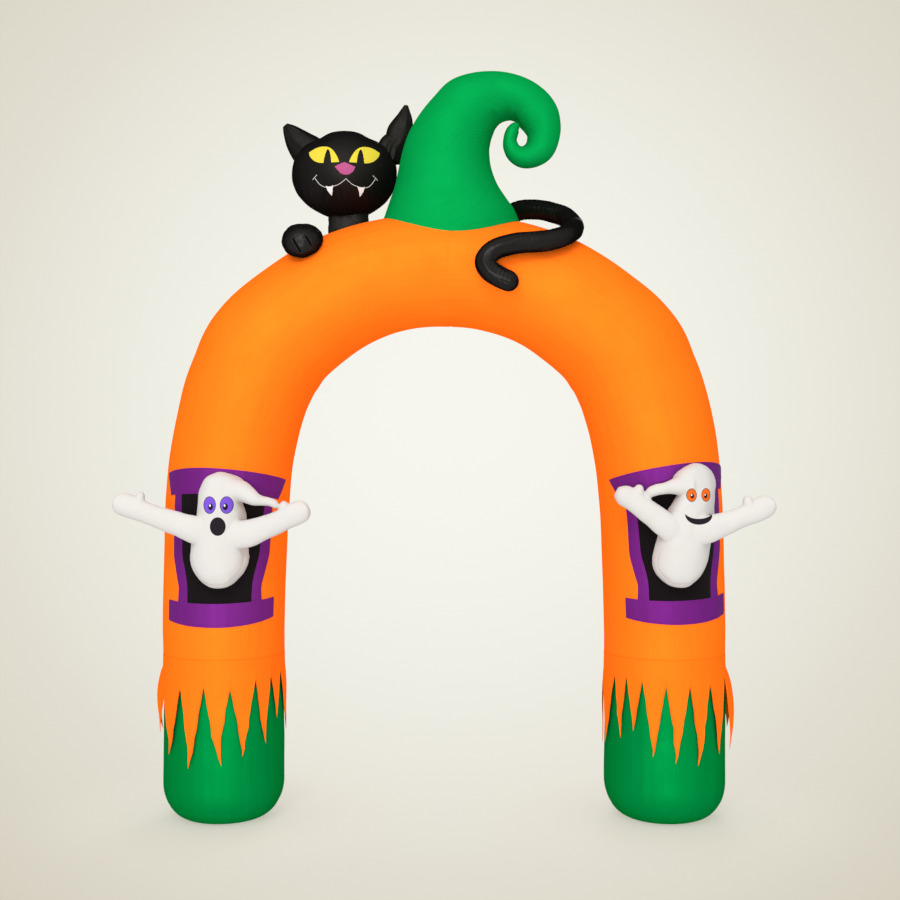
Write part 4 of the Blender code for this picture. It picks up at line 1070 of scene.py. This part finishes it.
def face(head_piece):
    tree = BVHTree.FromObject(head_piece, bpy.context.evaluated_depsgraph_get())
    for hand, sign in SIDES:
        ring = rounded_outline(EYE_OUTLINE, EYE_CORNERS)
        eye = [(EYE_SWING + sign * a * EYE_STRETCH[hand], b) for a, b in ring]
        patch(f"cat_eye_{hand}", eye, EYE_LIFT, tree, YELLOW)
        (x, top), (before, after) = FANG_TOPS[hand], FANG_OUTLINE
        fang = [(x + a, top + b) for a, b in (*before, (-sign * FANG_TIP[0], FANG_TIP[1]), *after)]
        patch(f"cat_fang_{hand}", fang, FANG_LIFT, tree, FANG)
    patch("cat_nose", rounded_outline(NOSE_OUTLINE, NOSE_CORNERS), NOSE_LIFT, tree, PINK)
    smile(tree)


def smile(skin_tree):
    """The white mouth line, a thin row of stitches on the head."""
    half = smooth_rows(SMILE, 10)
    other = half[::-1].copy()
    other[:, 0] = SMILE[-1][0] + SMILE_STRETCH * (SMILE[-1][0] - other[:, 0])
    strokes = [np.vstack([half, other[1:]])]
    for sign, end in ((-1, half[0]), (1, other[-1])):
        strokes.append(np.array([end + (sign * a, b) for a, b in SMILE_TICK]))
    curve = bpy.data.curves.new("cat_smile", "CURVE")
    curve.dimensions, curve.use_fill_caps = "3D", True
    curve.bevel_depth, curve.bevel_resolution = SMILE_RADIUS, 2
    for stroke in strokes:
        dense = smooth_rows(stroke, 6)
        spline = curve.splines.new("POLY")
        spline.points.add(len(dense) - 1)
        for point, (across, up) in zip(spline.points, dense):
            point.co = (*on_head(skin_tree, HEAD_CENTRE[0] + across, HEAD_CENTRE[2] + up, SMILE_LIFT), 1)
    curve.materials.append(THREAD)
    obj = added("cat_smile", curve)
    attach(obj, "root")


# --- Colours ---
DARK = {"satin": 0.75, "roughness": 0.46, "crinkle": 1.6, "striped": False}
PLAIN = {"satin": 0, "striped": False}
ORANGE = cloth("orange_taffeta", (1, 0.177, 0.0105), (1, 0.17, 0.0095))
ORANGE_PANEL = cloth("orange_taffeta_hemmed", (1, 0.17, 0.0095), (1, 0.162, 0.0085), crinkle=1.4,
                     hem=True)
GREEN = cloth("green_taffeta", (0.0002, 0.212, 0.043), (0.0002, 0.201, 0.04), roughness=0.56, satin=0.6)
# The hat is the same green cloth as the feet, painted lighter: painted light for the stronger light near
# the top.
HAT_GREEN_PAINTED_LIGHT = cloth("hat_taffeta_painted_light", (0.0015, 0.268, 0.057), (0.001, 0.256, 0.053))
PURPLE = cloth("purple_taffeta", (0.15, 0.0175, 0.184), (0.138, 0.014, 0.168), roughness=0.56, satin=0.6,
               gloss=0.2, hem=True)
PANE = cloth("pane_taffeta", (0.008, 0.0062, 0.0066), (0.0068, 0.0052, 0.0056), satin=0, gloss=0.1,
             hem=True)
BLACK = cloth("cat_taffeta", (0.024, 0.0225, 0.021), (0.019, 0.0178, 0.0166), **DARK)
HEAD_BLACK = cloth("cat_head_taffeta", (0.015, 0.014, 0.0125), (0.012, 0.0112, 0.01), **DARK)
TAIL_BLACK = cloth("cat_tail_taffeta", (0.0175, 0.0166, 0.0158), (0.014, 0.0133, 0.0127), roughness=0.33,
                   satin=0.8, crinkle=1.8, yarn=0.00001, striped=False)
YELLOW = cloth("yellow_taffeta", (0.56, 0.45, 0.04), (0.53, 0.42, 0.036), **PLAIN)
PINK = cloth("pink_taffeta", (0.35, 0.07, 0.18), (0.32, 0.064, 0.166), **PLAIN)
FANG = cloth("fang_taffeta", (0.74, 0.75, 0.74), (0.7, 0.71, 0.7), **PLAIN)
THREAD = cloth("smile_thread", (0.5, 0.49, 0.48), (0.46, 0.45, 0.44), **PLAIN)
FACES = {
    # the eyes' x and height, size and glance inwards, their colour, and the mouth
    "left": ghost_face((-0.808, -0.75), 1.15, (0.02, 0.028), (0.004, -0.006), linear(105, 72, 178),
                       ((-0.78, 1.076), (0.027, 0.032))),
    "right": ghost_face((0.856, 0.91), 1.184, (0.016, 0.021), (0.002, -0.003), linear(214, 92, 30),
                        ((0.88, 1.12), (0.048, 0.038)), ((0.88, 1.142), (0.058, 0.04))),
}
GHOST = {hand: cloth(f"ghost_{hand}_taffeta", (0.492, 0.473, 0.449), (0.472, 0.453, 0.43), yarn=0.000006,
                     prints=paint, **PLAIN) for hand, paint in FACES.items()}

# --- The whole arch ---
set_stage()
arch()
for hand_name, leg_side in SIDES:
    foot(hand_name, leg_side)
    window(hand_name, leg_side)
    ghost(hand_name, leg_side)
for hand_name, leg_side in SIDES:
    skirt(hand_name, leg_side)
hat()
cat_head = head()
ear("left")
ear("right")
neck()
paw()
tail()
face(cat_head)

bpy.context.view_layer.update()
